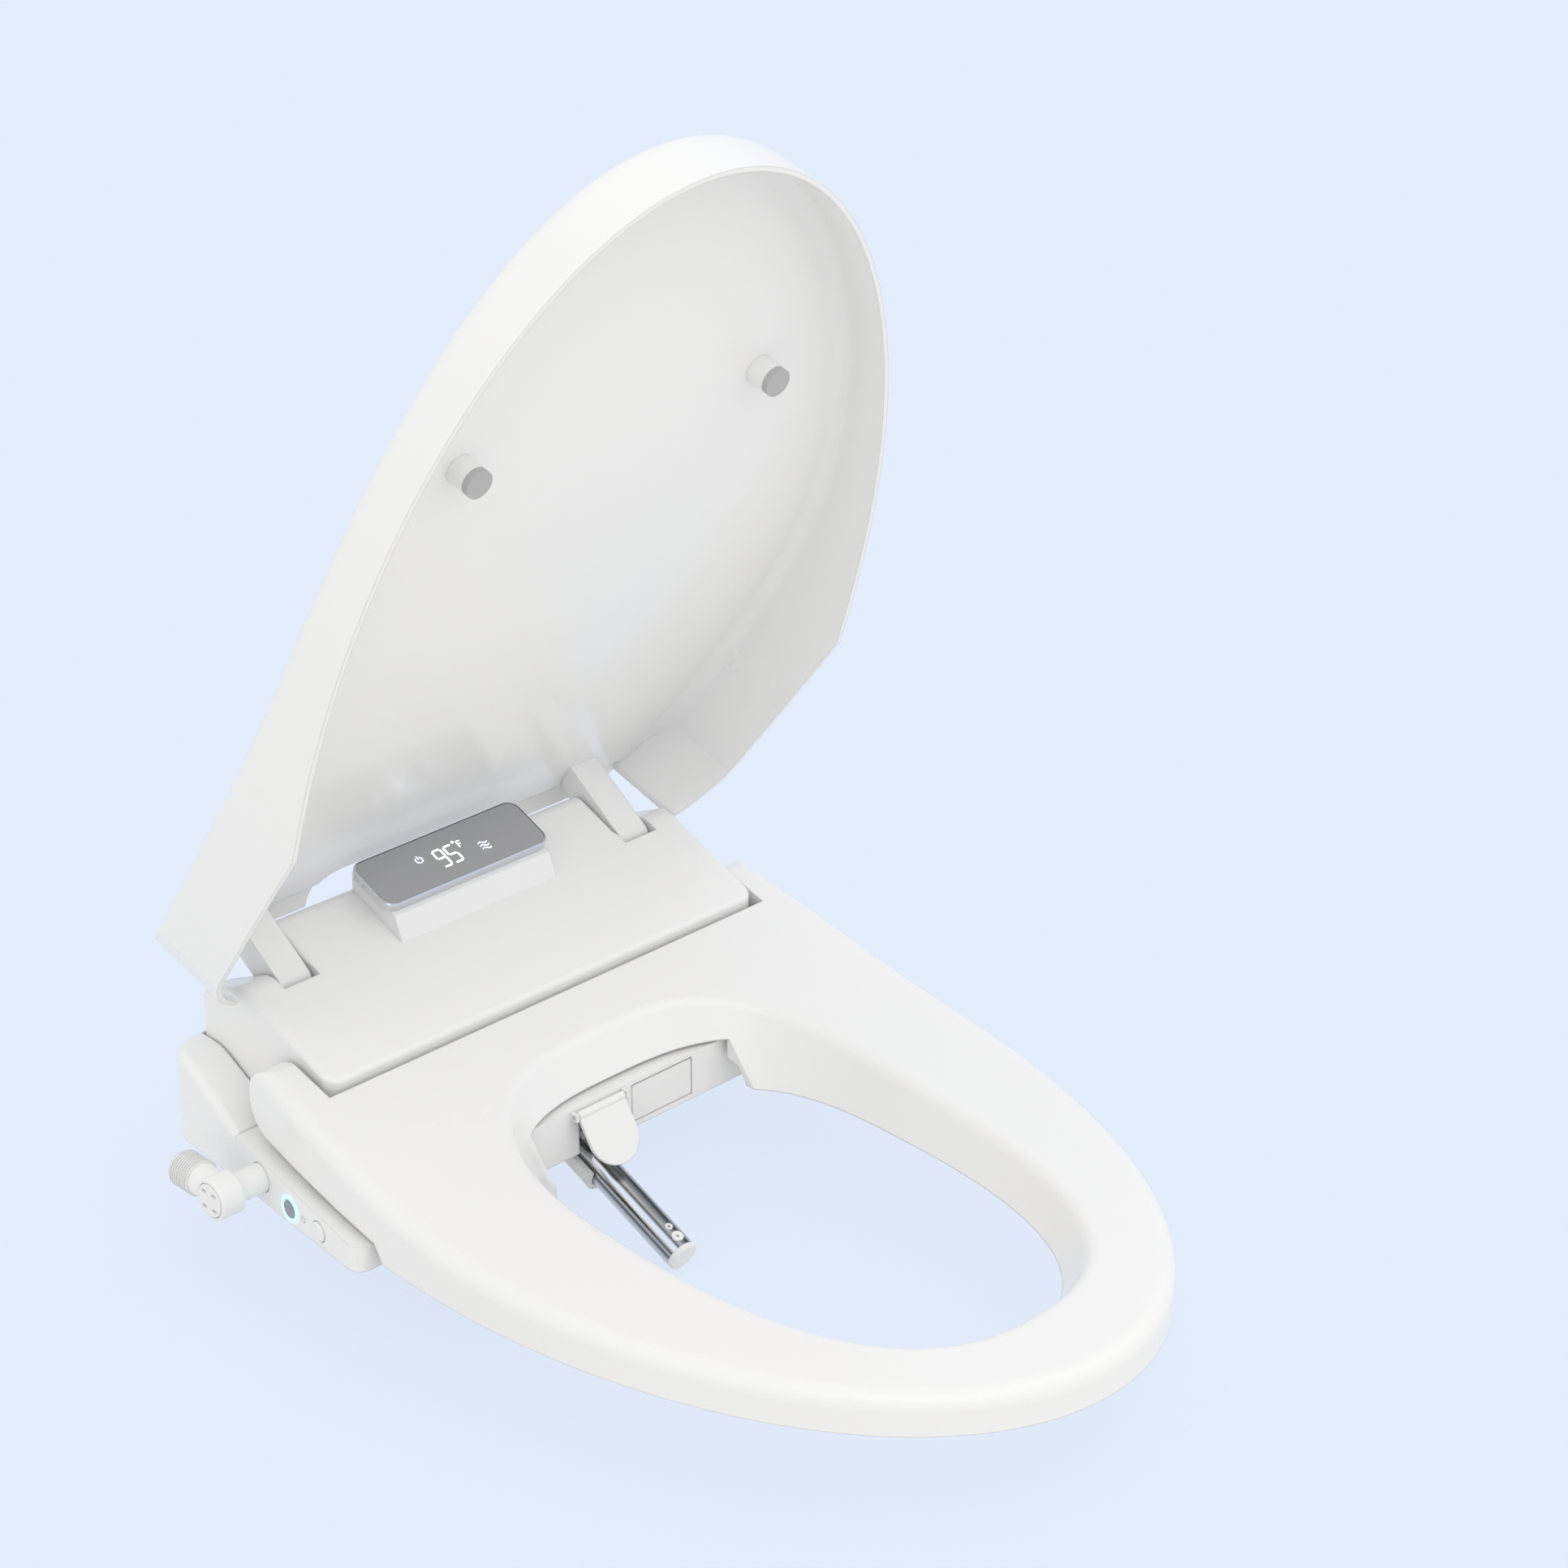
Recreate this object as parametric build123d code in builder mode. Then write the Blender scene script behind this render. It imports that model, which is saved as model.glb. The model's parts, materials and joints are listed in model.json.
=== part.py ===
"""Electric bidet seat: heated ring, hinged lid, sliding wash wand, dryer and side controls.

Millimetres, +Z up. Front of the ring points to -Y, hinges at the rear, the side arm is at -X.
z = 0 is the plane of the toilet rim. The origin is midway between the two bowl bolts.
"""

import os
from math import copysign, cos, pi, radians, sin, tan

from build123d import *

os.makedirs("parts", exist_ok=True)

# General fits
wall = 3.0
slip = 0.3
running = 0.05
part_gap = 0.5

# Half width of the top cover, which sets the other widths
cover_half = 154.0

# Ring to sit on
ring_ear_gap = 3.5
ring_ear_thick = 12.5
ring_bulge = 16.0
ring_side_band = 78.0
ring_front_band = 50.0
ring_ear_inner = cover_half + ring_ear_gap
ring_rear_half_width = ring_ear_inner + ring_ear_thick
ring_half_width = ring_rear_half_width + ring_bulge
ring_widest_y = -170.0
ring_front_reach = 305.0
ring_tip_y = ring_widest_y - ring_front_reach
ring_bottom_z = 8.0
ring_rear_end_y = 10.0
ring_front_z = 31.0
ring_top_points = ((-320.0, 32.0), (-240.0, 34.5), (-180.0, 39.0), (-140.0, 45.0), (-104.0, 53.5))
ring_rear_rise = 0.27
ring_hole_half_width = ring_half_width - ring_side_band
ring_hole_y = -240.0
ring_hole_front = ring_hole_y - ring_tip_y - ring_front_band
ring_hole_rear = 132.0
hole_front_power = 2.5
hole_rear_power = 3.0
hole_steps = 32
hole_lean = 0.55
hole_size_z = 33.0
ring_wall = 3.5
ring_edge_round = 9.0
ring_lip_round = 8.5
ring_pivot_y = -33.0
ring_pivot_z = 52.0
ring_ear_round = 20.0
ring_rear_round = 31.9
ring_rear_y = -62.6
ring_pin_r = 5.0
ring_arm_rise_y = -138.0
ring_block_z = 95.0
ring_nose_gap = 3.0
ring_nose_front_gap = 4.0
ring_nose_top_gap = 2.0
ring_mouth_half = 73.0
ring_mouth_front_gap = 30.0

# Lower housing
tray_bottom_z = 0.8
tray_floor_z = 9.0
tray_rear_y = 58.0
tray_cover_gap = 1.2
tray_shoulder = 22.0
tray_inner_half = cover_half + tray_cover_gap
tray_rear_half = tray_inner_half + tray_shoulder
tray_flank_lean = 0.094
tray_corner_round = 19.0
shoulder_front_y = -11.0
shoulder_low_z = 30.0
shoulder_high_y = 36.0
shoulder_high_z = 54.0
arm_front_y = -128.0
arm_inner_half = 148.0
arm_rear_z = 29.0
arm_mid_y = -60.0
arm_mid_z = 23.5
arm_front_z = 15.5
nose_half = 101.0
nose_front_y = -118.0
nose_top_z = 30.0

# Top cover
cover_front_y = -59.5
cover_front_z = 69.5
cover_slope = 21.8
cover_crest_y = 14.0
cover_rear_y = 54.2
cover_rear_z = 80.0
cover_middle_crest_y = 46.0
cover_middle_rear_z = 98.0
cover_skirt_z = 30.6
tower_foot_v = 63.5
tower_front_v = 75.0
tower_back_v = 114.0
tower_height = 11.0
tower_half = 56.0

# Display slab
display_half = 59.3
display_front_v = 78.0
display_back_v = 115.2
display_thick = 4.8
display_round = 8.0
display_rim = 1.0
display_glass = 1.4

# Lid
lid_hinge_y = 16.0
lid_hinge_z = 88.0
lid_open = 74.0
lid_wall = 3.0
lid_side_gap = 3.0
lid_front_gap = 25.0
lid_shoulder_over = 3.8
lid_half_width = ring_half_width + lid_side_gap + lid_wall
lid_widest_y = ring_widest_y - 2.0
lid_front_reach = lid_widest_y - ring_tip_y + lid_front_gap + lid_wall
lid_rear_half = tray_rear_half + lid_shoulder_over
lid_rear_y = 24.0
lid_tip_rim_z = 9.5
lid_kink_y = -146.0
lid_kink_z = 24.0
lid_rear_rim_z = 93.0
lid_front_top_z = 50.0
lid_top_points = (
    (-400.0, 49.5),
    (-300.0, 54.0),
    (-200.0, 70.0),
    (-120.0, 95.0),
    (-60.0, 117.0),
    (-12.0, 135.5),
)
lid_rear_top_z = 144.0
lid_rear_rise = 0.04
lid_lug_in = 113.0
lid_lug_out = 133.0
lid_lug_r = 9.0
lid_pin_r = 4.0
lid_post_x = 100.0
lid_post_y = -341.0
lid_post_r = 8.0
lid_pad_thick = 4.0
notch_gap = 2.0

# Wand and its drive
wand_x = -20.0
wand_exit_y = nose_front_y
wand_exit_z = -12.0
wand_slope = 22.5
wand_r = 9.0
wand_wall = 1.2
wand_out = 74.0
wand_length = 152.0
tip_length = 3.0
rack_start = 88.0
rack_end = 166.0
rack_half = 3.0
rack_root = 11.6
pitch_r = 6.0
tooth_count = 12
tooth_high = 1.6
gear_root_r = 5.0
gear_tip_r = 6.6
pinion_at = 90.0
cradle_half = 12.6
cradle_end = 170.0

# Side controls
power_y = -64.0
wash_y = -92.0
control_z = 9.8
power_r = 5.6
power_ring_r = 7.8
wash_r = 5.7
button_press = 1.5

# Water inlet
inlet_y = -36.0
inlet_z = 15.6
inlet_tube_r = 8.2
plug_r = 9.6
plug_in_x = -214.8
plug_out_x = -220.0
tee_out_x = -219.4
thread_r = 10.4
thread_root_r = 9.2
thread_pitch = 1.8
thread_reach = 38.0
branch_x = -209.4

# Bowl mount
bolt_spacing = 140.0
bolt_slot_r = 5.5
bolt_slot_length = 26.0
plate_half_x = 108.0
plate_half_y = 27.0
plate_thick = 5.4
plate_gap = 2.0
bolt_head_x = 20.0
bolt_head_y = 11.0
bolt_head_z = 8.0
plate_round = 6.0

# Inside of the ring
ring_bottom_thick = 2.5
foil_z = 20.4
foil_thick = 0.8
foil_inset = 3.0
foil_rear_y = -160.0
bumper_r = 9.0
bumper_spots = ((115.0, -360.0), (143.0, -200.0))
ring_pin_deep = 10.0
ring_pin_in = ring_ear_inner - ring_pin_deep
ring_pin_length = 22.0
ring_damper_r = 9.0
ring_damper_length = 25.0

# Housing details
shoulder_round = 30.0
tray_edge_round = 5.0
arm_nose_round = 8.0
arm_floor_z = 3.4
arm_roof = 1.8
arm_hollow_rear_y = -14.0
middle_front_y = -57.0
middle_top_z = 27.0
mouth_gap = 0.8
mouth_top_z = 25.0
mouth_rear_y = -34.0
roof_slot_y = -72.0
pad_r = 9.0
pad_thick = 3.0
pad_spots = ((150.0, 42.0), (135.0, -44.0))
post_spots = (
    (49.0 - cover_half, -48.0, 72.0),
    (100.0, -48.0, 72.0),
    (53.0 - cover_half, 46.0, 101.0),
    (46.0, 46.0, 101.0),
)
post_r = 5.0
screw_r = 1.6
screw_head_r = 3.4
screw_head_z = 6.0
screw_head_high = 2.4
screw_reach_z = 24.0

# Cover details
skirt_low_z = 26.0
skirt_step = 6.1
cover_crest_round = 16.0
cover_middle_round = 9.0
cover_middle_side_round = 2.5
cover_corner_round = 8.0
cover_rear_round = 6.0
cover_side_round = 3.5
tower_back_y = 44.0
tower_low_y = -2.0
tower_low_z = 84.0
notch_front_y = 3.0
notch_low_z = 64.0
bearing_r = 9.0
bearing_length = 5.0
display_bevel = 0.8
display_board_n = 3.0
display_board_half = 45.0
display_board_depth = 22.0
display_leg_x = 40.0
board_thick = 1.6

# Lid details
lid_edge_round = 11.0
lid_dish_round = 9.0
lid_corner_round = 60.0
lid_open_gap = 4.5
lid_open_depth = 16.0
lid_notch_half = 70.0
lid_notch_y = 1.0
lid_notch_round = 20.0
lid_open_half = cover_half + lid_open_gap
lid_rear_thick = 3.4
lid_lug_lean = 19.0
lid_lug_front_length = 52.2
lid_lug_rear_length = 49.7
lid_post_end_z = 36.3
lid_post_top_z = 50.0
lid_pin_in = 107.0
lid_pin_length = 32.5
lid_damper_r = 5.0
lid_damper_length = 22.0

# Wand details
cradle_start = -6.0
cradle_top = 4.0
tip_bevel = 1.0
tip_plug = 8.0
disc_sink = 1.5
disc_stand = 0.3
spray_hole_r = 0.8
spray_discs_at = ((9.0, 3.4), (16.5, 2.2))
rack_foot = 8.4
rack_pitch_up = 12.5
rack_teeth_low = -24
rack_teeth_high = 0
tooth_thick = 1.2
pinion_half = 3.5
motor_x0 = -62.0
motor_x1 = -40.0
motor_r = 13.0
motor_bore = 8.0
motor_shaft_r = 2.0

# Gate and dryer
gate_y = nose_front_y - 2.8
gate_z = 27.0
gate_tilt = 34.0
gate_half = 16.5
gate_length = 34.0
gate_thick = 2.0
gate_pin_r = 1.2
gate_barrel_r = 2.3
gate_lug = 2.4
door_x0 = 5.6
door_x1 = 49.4
door_z0 = 4.6
door_z1 = 26.9
door_gap = 0.6
door_thick = 2.4
door_pin_y = nose_front_y + 1.4
door_pin_z = 25.6
door_pin_r = 0.8
door_pin_over = 3.0
outlet_top_z = 27.9
fan_x = 27.5
fan_y = -25.0
fan_r = 20.0
fan_hub_r = 6.0
fan_plate = 1.6
fan_z0 = 14.0
fan_z1 = 31.0
fan_blades = 14
fan_blade_thick = 1.4
fan_shaft_r = 1.5
fan_shaft_top = 48.0
shaft_room = 2.0
intake_half = 7.0
intake_z0 = 17.5
intake_z1 = 29.5
thin = 2.0
blower_r = 25.0
blower_z0 = 9.5
blower_z1 = 36.0
duct_x0 = 8.0
duct_x1 = 47.0
duct_front_y = -112.5
duct_z1 = 26.0
dryer_motor_r = 11.0
dryer_motor_high = 17.0
dryer_heat_y = -80.0
dryer_heat_thick = 6.0
dryer_heat_cells = 6
heater_rib = 1.6

# Water pieces inside
tank_x0 = 62.0
tank_side_gap = 14.0
tank_x1 = cover_half - tank_side_gap
tank_y0 = -39.5
tank_y1 = 41.0
tank_z0 = 9.5
tank_z1 = 40.0
tank_round = 8.0
tank_in_x = 98.0
tank_out_x = 90.0
valve_side_gap = 4.0
valve_wide = 32.0
valve_x0 = valve_side_gap - cover_half
valve_x1 = valve_x0 + valve_wide
valve_half = 14.0
valve_z1 = 34.0
valve_out_x = valve_x0 + valve_wide / 2 + 2
diverter_x = 16.0
diverter_y = 26.0
diverter_half = 12.0
diverter_z1 = 32.0
hose_r = 4.0
hose_bend = 12.0
hose_top_z = 62.0
port_high = 4.0
tee_r = 12.0
tee_length = 15.0
tee_round = 1.5
thread_ridges = 9
branch_bore_r = 5.0
inlet_bore_r = 5.0
plug_stem = 4.0
plug_round = 0.6
plug_window_deep = 1.4
plug_window_y = 3.4
plug_window_z = 1.6
plug_window_at_y = 4.2
plug_window_at_z = 4.6
screen_r = 4.5
screen_wall = 0.6
screen_length = 40.0

# Electrics
board_x0 = 62.0 - cover_half
board_x1 = -46.0
board_y0 = -38.0
board_y1 = 44.0
board_z = 12.0
board_leg_in = 5.0
board_leg_r = 2.5
board_chips = (
    (0.26, 20.0, 7.0, 3.0),
    (0.74, -12.0, 5.0, 6.0),
    (0.3, -16.0, 4.0, 8.0),
    (0.7, 28.0, 6.0, 2.0),
)
supply_side_gap = 6.0
supply_wide = 38.0
supply_x0 = supply_side_gap - cover_half
supply_x1 = supply_x0 + supply_wide
supply_y0 = -14.0
supply_y1 = 45.0
supply_z1 = 46.0
supply_round = 3.0
gland_x = 120.0
gland_z = 17.0
gland_r = 6.0
gland_inside = 9.0
gland_outside = 9.0
gland_flange_r = 8.4
gland_flange = 3.0
cable_r = 3.4
button_inner = -7.0
button_round = 1.0
power_stand = 0.8
wash_stand = 1.6
ring_light_stand = 0.4
arm_board_out = -13.0
arm_board_length = 54.0
arm_board_high = 7.0
switch_r = 3.0
switch_high = 4.0


def side_plane(x=0.0):
    """Plane seen from the side: local x runs to the rear, local y runs up."""
    return Plane(origin=(x, 0, 0), x_dir=(0, 1, 0), z_dir=(1, 0, 0))


def flank_x(y):
    """Distance of the housing flank from the middle at a given y."""
    return tray_rear_half + tray_flank_lean * (tray_rear_y - y)


def ring_outline(inset):
    """Outer outline of the ring, moved inward by inset, drawn in the open line block."""
    half = ring_half_width - inset
    rear = ring_rear_half_width - inset
    EllipticalCenterArc((0, ring_widest_y), half, ring_front_reach - inset, 180, arc_size=180)
    TangentArc((half, ring_widest_y), (rear, ring_rear_end_y), tangent=(0, 1))
    Line((rear, ring_rear_end_y), (-rear, ring_rear_end_y))
    TangentArc((-half, ring_widest_y), (-rear, ring_rear_end_y), tangent=(0, 1))


def hole_grow(z):
    """Growth of the opening's outline at a height, as it widens upward."""
    return hole_lean * (z - hole_size_z)


def hole_outline(grow):
    """Egg-shaped outline of the opening in the ring, grown outward by grow, in the open line block."""
    points = []
    for step in range(hole_steps):
        turn = 2 * pi * step / hole_steps
        to_rear = sin(turn) > 0
        power = hole_rear_power if to_rear else hole_front_power
        reach = ring_hole_rear if to_rear else ring_hole_front
        x = copysign(abs(cos(turn)) ** (2 / power), cos(turn))
        y = copysign(abs(sin(turn)) ** (2 / power), sin(turn))
        points.append((x * (ring_hole_half_width + grow), ring_hole_y + y * (reach + grow)))
    Spline(*points, periodic=True)


# Directions of the sloping cover, the open lid and the wand
cover_up = (0, cos(radians(cover_slope)), sin(radians(cover_slope)))
cover_normal = (0, -sin(radians(cover_slope)), cos(radians(cover_slope)))
lid_back = (0, cos(radians(lid_open)), -sin(radians(lid_open)))
lid_top = (0, sin(radians(lid_open)), cos(radians(lid_open)))
wand_back = (0, cos(radians(wand_slope)), sin(radians(wand_slope)))
wand_up = (0, -sin(radians(wand_slope)), cos(radians(wand_slope)))


def cover_point(v, n):
    """Side-view point v up the cover slope and n above its plane."""
    y = cover_front_y + v * cover_up[1] + n * cover_normal[1]
    z = cover_front_z + v * cover_up[2] + n * cover_normal[2]
    return (y, z)


def cover_plane(n):
    """Plane parallel to the sloping top, n above it, origin at its front edge."""
    y, z = cover_point(0, n)
    return Plane(origin=(0, y, z), x_dir=(1, 0, 0), z_dir=cover_normal)


def lid_plane(up=0.0):
    """Plan plane of the lid in its open position, origin on the hinge line."""
    y = lid_hinge_y + up * lid_top[1]
    z = lid_hinge_z + up * lid_top[2]
    return Plane(origin=(0, y, z), x_dir=(1, 0, 0), z_dir=lid_top)


def lid_side(x):
    """Side plane of the lid, local x to its rear edge, local y to its top."""
    return Plane(origin=(x, lid_hinge_y, lid_hinge_z), x_dir=lid_back, z_dir=(1, 0, 0))


def lid_point(y, z):
    """Closed-lid side point measured from the hinge line."""
    return (y - lid_hinge_y, z - lid_hinge_z)


def lug_point(across_y, length):
    """Point on a hinge lug, which leans forward from the hinge of the closed lid."""
    lean = radians(lid_lug_lean)
    y = lid_hinge_y + across_y * cos(lean) - length * sin(lean)
    z = lid_hinge_z + across_y * sin(lean) + length * cos(lean)
    return lid_point(y, z)


def wand_plane(along, up=0.0):
    """Plane across the wand at a distance behind the outlet, local y upward."""
    y = wand_exit_y + along * wand_back[1] + up * wand_up[1]
    z = wand_exit_z + along * wand_back[2] + up * wand_up[2]
    return Plane(origin=(wand_x, y, z), x_dir=(-1, 0, 0), z_dir=wand_back)


def wand_side(x):
    """Side plane of the wand, local x runs back along it, local y across it upward."""
    return Plane(origin=(x, wand_exit_y, wand_exit_z), x_dir=wand_back, z_dir=(1, 0, 0))


def flank_plane(y, z, out=0.0):
    """Plane on the outer face of the side arm, normal pointing outward."""
    lean = (1 + tray_flank_lean**2) ** 0.5
    normal = (-1 / lean, tray_flank_lean / lean, 0)
    origin = (-flank_x(y) + out * normal[0], y + out * normal[1], z)
    return Plane(origin=origin, x_dir=(-tray_flank_lean / lean, -1 / lean, 0), z_dir=normal)


def block(x0, x1, y0, y1, z0, z1, mode=Mode.ADD):
    """Upright block between six bounds, in the open part."""
    solid = Box(x1 - x0, y1 - y0, z1 - z0, mode=Mode.PRIVATE)
    add(upward((x0 + x1) / 2, (y0 + y1) / 2, (z0 + z1) / 2) * solid, mode=mode)


def rod(plane, radius, length, mode=Mode.ADD):
    """Round bar from a plane along its normal, in the open part."""
    from_plane = (Align.CENTER, Align.CENTER, Align.MIN)
    add(plane * Cylinder(radius, length, align=from_plane, mode=Mode.PRIVATE), mode=mode)


def across(x, y, z):
    """Plane facing +X through a point."""
    return Plane(origin=(x, y, z), x_dir=(0, 1, 0), z_dir=(1, 0, 0))


def upward(x, y, z):
    """Plane facing +Z through a point."""
    return Plane(origin=(x, y, z), x_dir=(1, 0, 0), z_dir=(0, 0, 1))


def rearward(x, y, z):
    """Plane facing +Y through a point."""
    return Plane(origin=(x, y, z), x_dir=(-1, 0, 0), z_dir=(0, 1, 0))


def arm_profile(drop):
    """Side view of the arm with its falling top lowered by drop, drawn in the open line block."""
    Polyline(
        (shoulder_front_y, arm_rear_z - drop),
        (arm_mid_y, arm_mid_z - drop),
        (arm_front_y, arm_front_z - drop),
        (arm_front_y, 0),
        (shoulder_front_y, 0),
        close=True,
    )


def wand_top_plane(along, up):
    """Plane facing away from the top of the wand."""
    spot = wand_side(wand_x).from_local_coords((along, up, 0))
    return Plane(origin=spot, x_dir=(1, 0, 0), z_dir=wand_up)


# Ring shell: a band with a rising rear, hollow from below, ears round the hinge line
ring_front_end = ring_tip_y - 5


def ring_profile(drop):
    """Side view of the ring with its top lowered by drop, drawn in the open line block."""
    rear_top = ring_pivot_z + ring_ear_round + ring_rear_rise * (ring_rear_end_y - ring_pivot_y)
    Spline(
        (ring_front_end, ring_front_z - drop),
        *[(y, z - drop) for y, z in ring_top_points],
        (ring_rear_end_y, rear_top - drop),
        tangents=((1, 0), (1, ring_rear_rise)),
    )
    Polyline(
        (ring_rear_end_y, rear_top - drop),
        (ring_rear_end_y, ring_bottom_z),
        (ring_front_end, ring_bottom_z),
        (ring_front_end, ring_front_z - drop),
    )


def on_lip(spot):
    """True for a point near the edge of the opening in the ring."""
    return spot.Y > ring_tip_y + ring_front_band / 2 and abs(spot.X) < ring_half_width - ring_side_band / 2


def on_rim(spot):
    """True for a point near the outer edge of the ring."""
    return not on_lip(spot)


with BuildPart() as ring_shell:
    with BuildSketch(Plane.XY):
        with BuildLine():
            ring_outline(0)
        make_face()
    extrude(amount=ring_block_z)
    # the opening widens upward
    for z in (0, ring_block_z):
        with BuildSketch(Plane.XY.offset(z)):
            with BuildLine():
                hole_outline(hole_grow(z))
            make_face()
    loft(mode=Mode.SUBTRACT)
    with BuildSketch(side_plane(-ring_half_width - 10)):
        with BuildLine():
            ring_profile(0)
        make_face()
    extrude(amount=2 * ring_half_width + 20, mode=Mode.INTERSECT)
    crest = ring_shell.edges().filter_by(GeomType.BSPLINE).filter_by(lambda e: e.center().Z > 25)
    fillet(crest.filter_by(lambda e: on_lip(e.center())), radius=ring_lip_round)
    crest = ring_shell.edges().filter_by(GeomType.BSPLINE).filter_by(lambda e: e.center().Z > 25)
    fillet(crest.filter_by(lambda e: on_rim(e.center())), radius=ring_edge_round)
    # underside follows the side arm, ears end round the hinge line
    with BuildSketch(side_plane(-ring_half_width - 10)):
        with BuildLine():
            Polyline(
                (ring_arm_rise_y, ring_bottom_z),
                (arm_front_y - 3, arm_front_z + 2.5),
                (ring_pivot_y, ring_pivot_z - ring_ear_round),
            )
            RadiusArc(
                (ring_pivot_y, ring_pivot_z - ring_ear_round),
                (ring_pivot_y, ring_pivot_z + ring_ear_round),
                -ring_ear_round,
            )
            Polyline(
                (ring_pivot_y, ring_pivot_z + ring_ear_round),
                (ring_pivot_y, ring_block_z),
                (ring_rear_end_y + 5, ring_block_z),
                (ring_rear_end_y + 5, 0),
                (ring_arm_rise_y, 0),
                (ring_arm_rise_y, ring_bottom_z),
            )
        make_face()
    extrude(amount=2 * ring_half_width + 20, mode=Mode.SUBTRACT)
    # hollow between the walls
    with BuildSketch(Plane.XY):
        with BuildLine():
            ring_outline(ring_wall)
        make_face()
        with Locations((0, ring_rear_end_y)):
            Rectangle(2 * ring_half_width, -2 * (ring_rear_y - 4 - ring_rear_end_y), mode=Mode.SUBTRACT)
    hollow_plan = extrude(amount=ring_block_z, mode=Mode.PRIVATE)
    with BuildSketch(side_plane(-ring_half_width - 10)):
        with BuildLine():
            ring_profile(ring_edge_round)
        make_face()
    hollow_side = extrude(amount=2 * ring_half_width + 20, mode=Mode.PRIVATE)
    for z in (0, ring_block_z):
        with BuildSketch(Plane.XY.offset(z)):
            with BuildLine():
                hole_outline(hole_grow(z) + ring_wall)
            make_face()
    hole_wall = loft(mode=Mode.PRIVATE)
    ring_hollow = (hollow_plan - hole_wall) & hollow_side
    # full material round the room for the nose
    room_half = nose_half + ring_nose_gap
    room_top = nose_top_z + ring_nose_top_gap
    mouth_y = nose_front_y - ring_mouth_front_gap
    solid_deep = ring_rear_end_y - mouth_y + ring_wall
    solid = Box(2 * (room_half + ring_wall), solid_deep, 2 * (room_top + ring_wall), mode=Mode.PRIVATE)
    ring_hollow = ring_hollow - upward(0, ring_rear_end_y - solid_deep / 2, 0) * solid
    add(ring_hollow, mode=Mode.SUBTRACT)
    # room for the top cover, the nose and the swing of the rear edge
    block(-ring_ear_inner, ring_ear_inner, ring_rear_y, ring_rear_end_y, 0, ring_block_z, Mode.SUBTRACT)
    ear_plane = across(-ring_ear_inner, ring_pivot_y, ring_pivot_z)
    rod(ear_plane, ring_rear_round, 2 * ring_ear_inner, Mode.SUBTRACT)
    front_y = nose_front_y - ring_nose_front_gap
    block(-room_half, room_half, front_y, ring_rear_end_y, 0, room_top, Mode.SUBTRACT)
    block(-ring_mouth_half, ring_mouth_half, mouth_y, ring_rear_end_y, 0, room_top, Mode.SUBTRACT)
    for side in (-1, 1):
        pin_start = ring_ear_inner - 1 if side > 0 else -ring_ear_inner - 13
        rod(across(pin_start, ring_pivot_y, ring_pivot_z), ring_pin_r + running, 14, Mode.SUBTRACT)
ring_shell.part.label = "ring_shell"
export_step(ring_shell.part, "parts/ring_shell.step")

# Ring bottom, heater foil, bumpers and hinge pins
with BuildPart() as ring_bottom:
    with BuildSketch(Plane.XY.offset(ring_bottom_z)):
        with BuildLine():
            ring_outline(ring_wall + slip)
        make_face()
        with BuildLine():
            hole_outline(hole_grow(ring_bottom_z + ring_bottom_thick) + ring_wall + slip)
        make_face(mode=Mode.SUBTRACT)
        Rectangle(2 * ring_half_width, -2 * (ring_arm_rise_y - 3), mode=Mode.SUBTRACT)
        Rectangle(2 * (room_half + ring_wall + slip), -2 * (mouth_y - ring_wall - slip), mode=Mode.SUBTRACT)
    extrude(amount=ring_bottom_thick)
ring_bottom.part.label = "ring_bottom"
export_step(ring_bottom.part, "parts/ring_bottom.step")

with BuildPart() as ring_heater:
    with BuildSketch(Plane.XY.offset(foil_z)):
        with BuildLine():
            ring_outline(ring_wall + foil_inset)
        make_face()
        with BuildLine():
            hole_outline(hole_grow(foil_z + foil_thick) + ring_wall + foil_inset)
        make_face(mode=Mode.SUBTRACT)
        Rectangle(2 * ring_half_width, -2 * foil_rear_y, mode=Mode.SUBTRACT)
    extrude(amount=foil_thick)
ring_heater.part.label = "ring_heater"
export_step(ring_heater.part, "parts/ring_heater.step")

with BuildPart() as ring_bumpers:
    for x, y in bumper_spots:
        rod(upward(x, y, 0), bumper_r, ring_bottom_z)
        rod(upward(-x, y, 0), bumper_r, ring_bottom_z)
ring_bumpers.part.label = "ring_bumpers"
export_step(ring_bumpers.part, "parts/ring_bumpers.step")

with BuildPart() as ring_pins:
    rod(across(ring_pin_in, ring_pivot_y, ring_pivot_z), ring_pin_r, ring_pin_length)
    rod(across(-ring_pin_in - ring_pin_length, ring_pivot_y, ring_pivot_z), ring_pin_r, ring_pin_length)
ring_pins.part.label = "ring_pins"
export_step(ring_pins.part, "parts/ring_pins.step")

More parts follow.
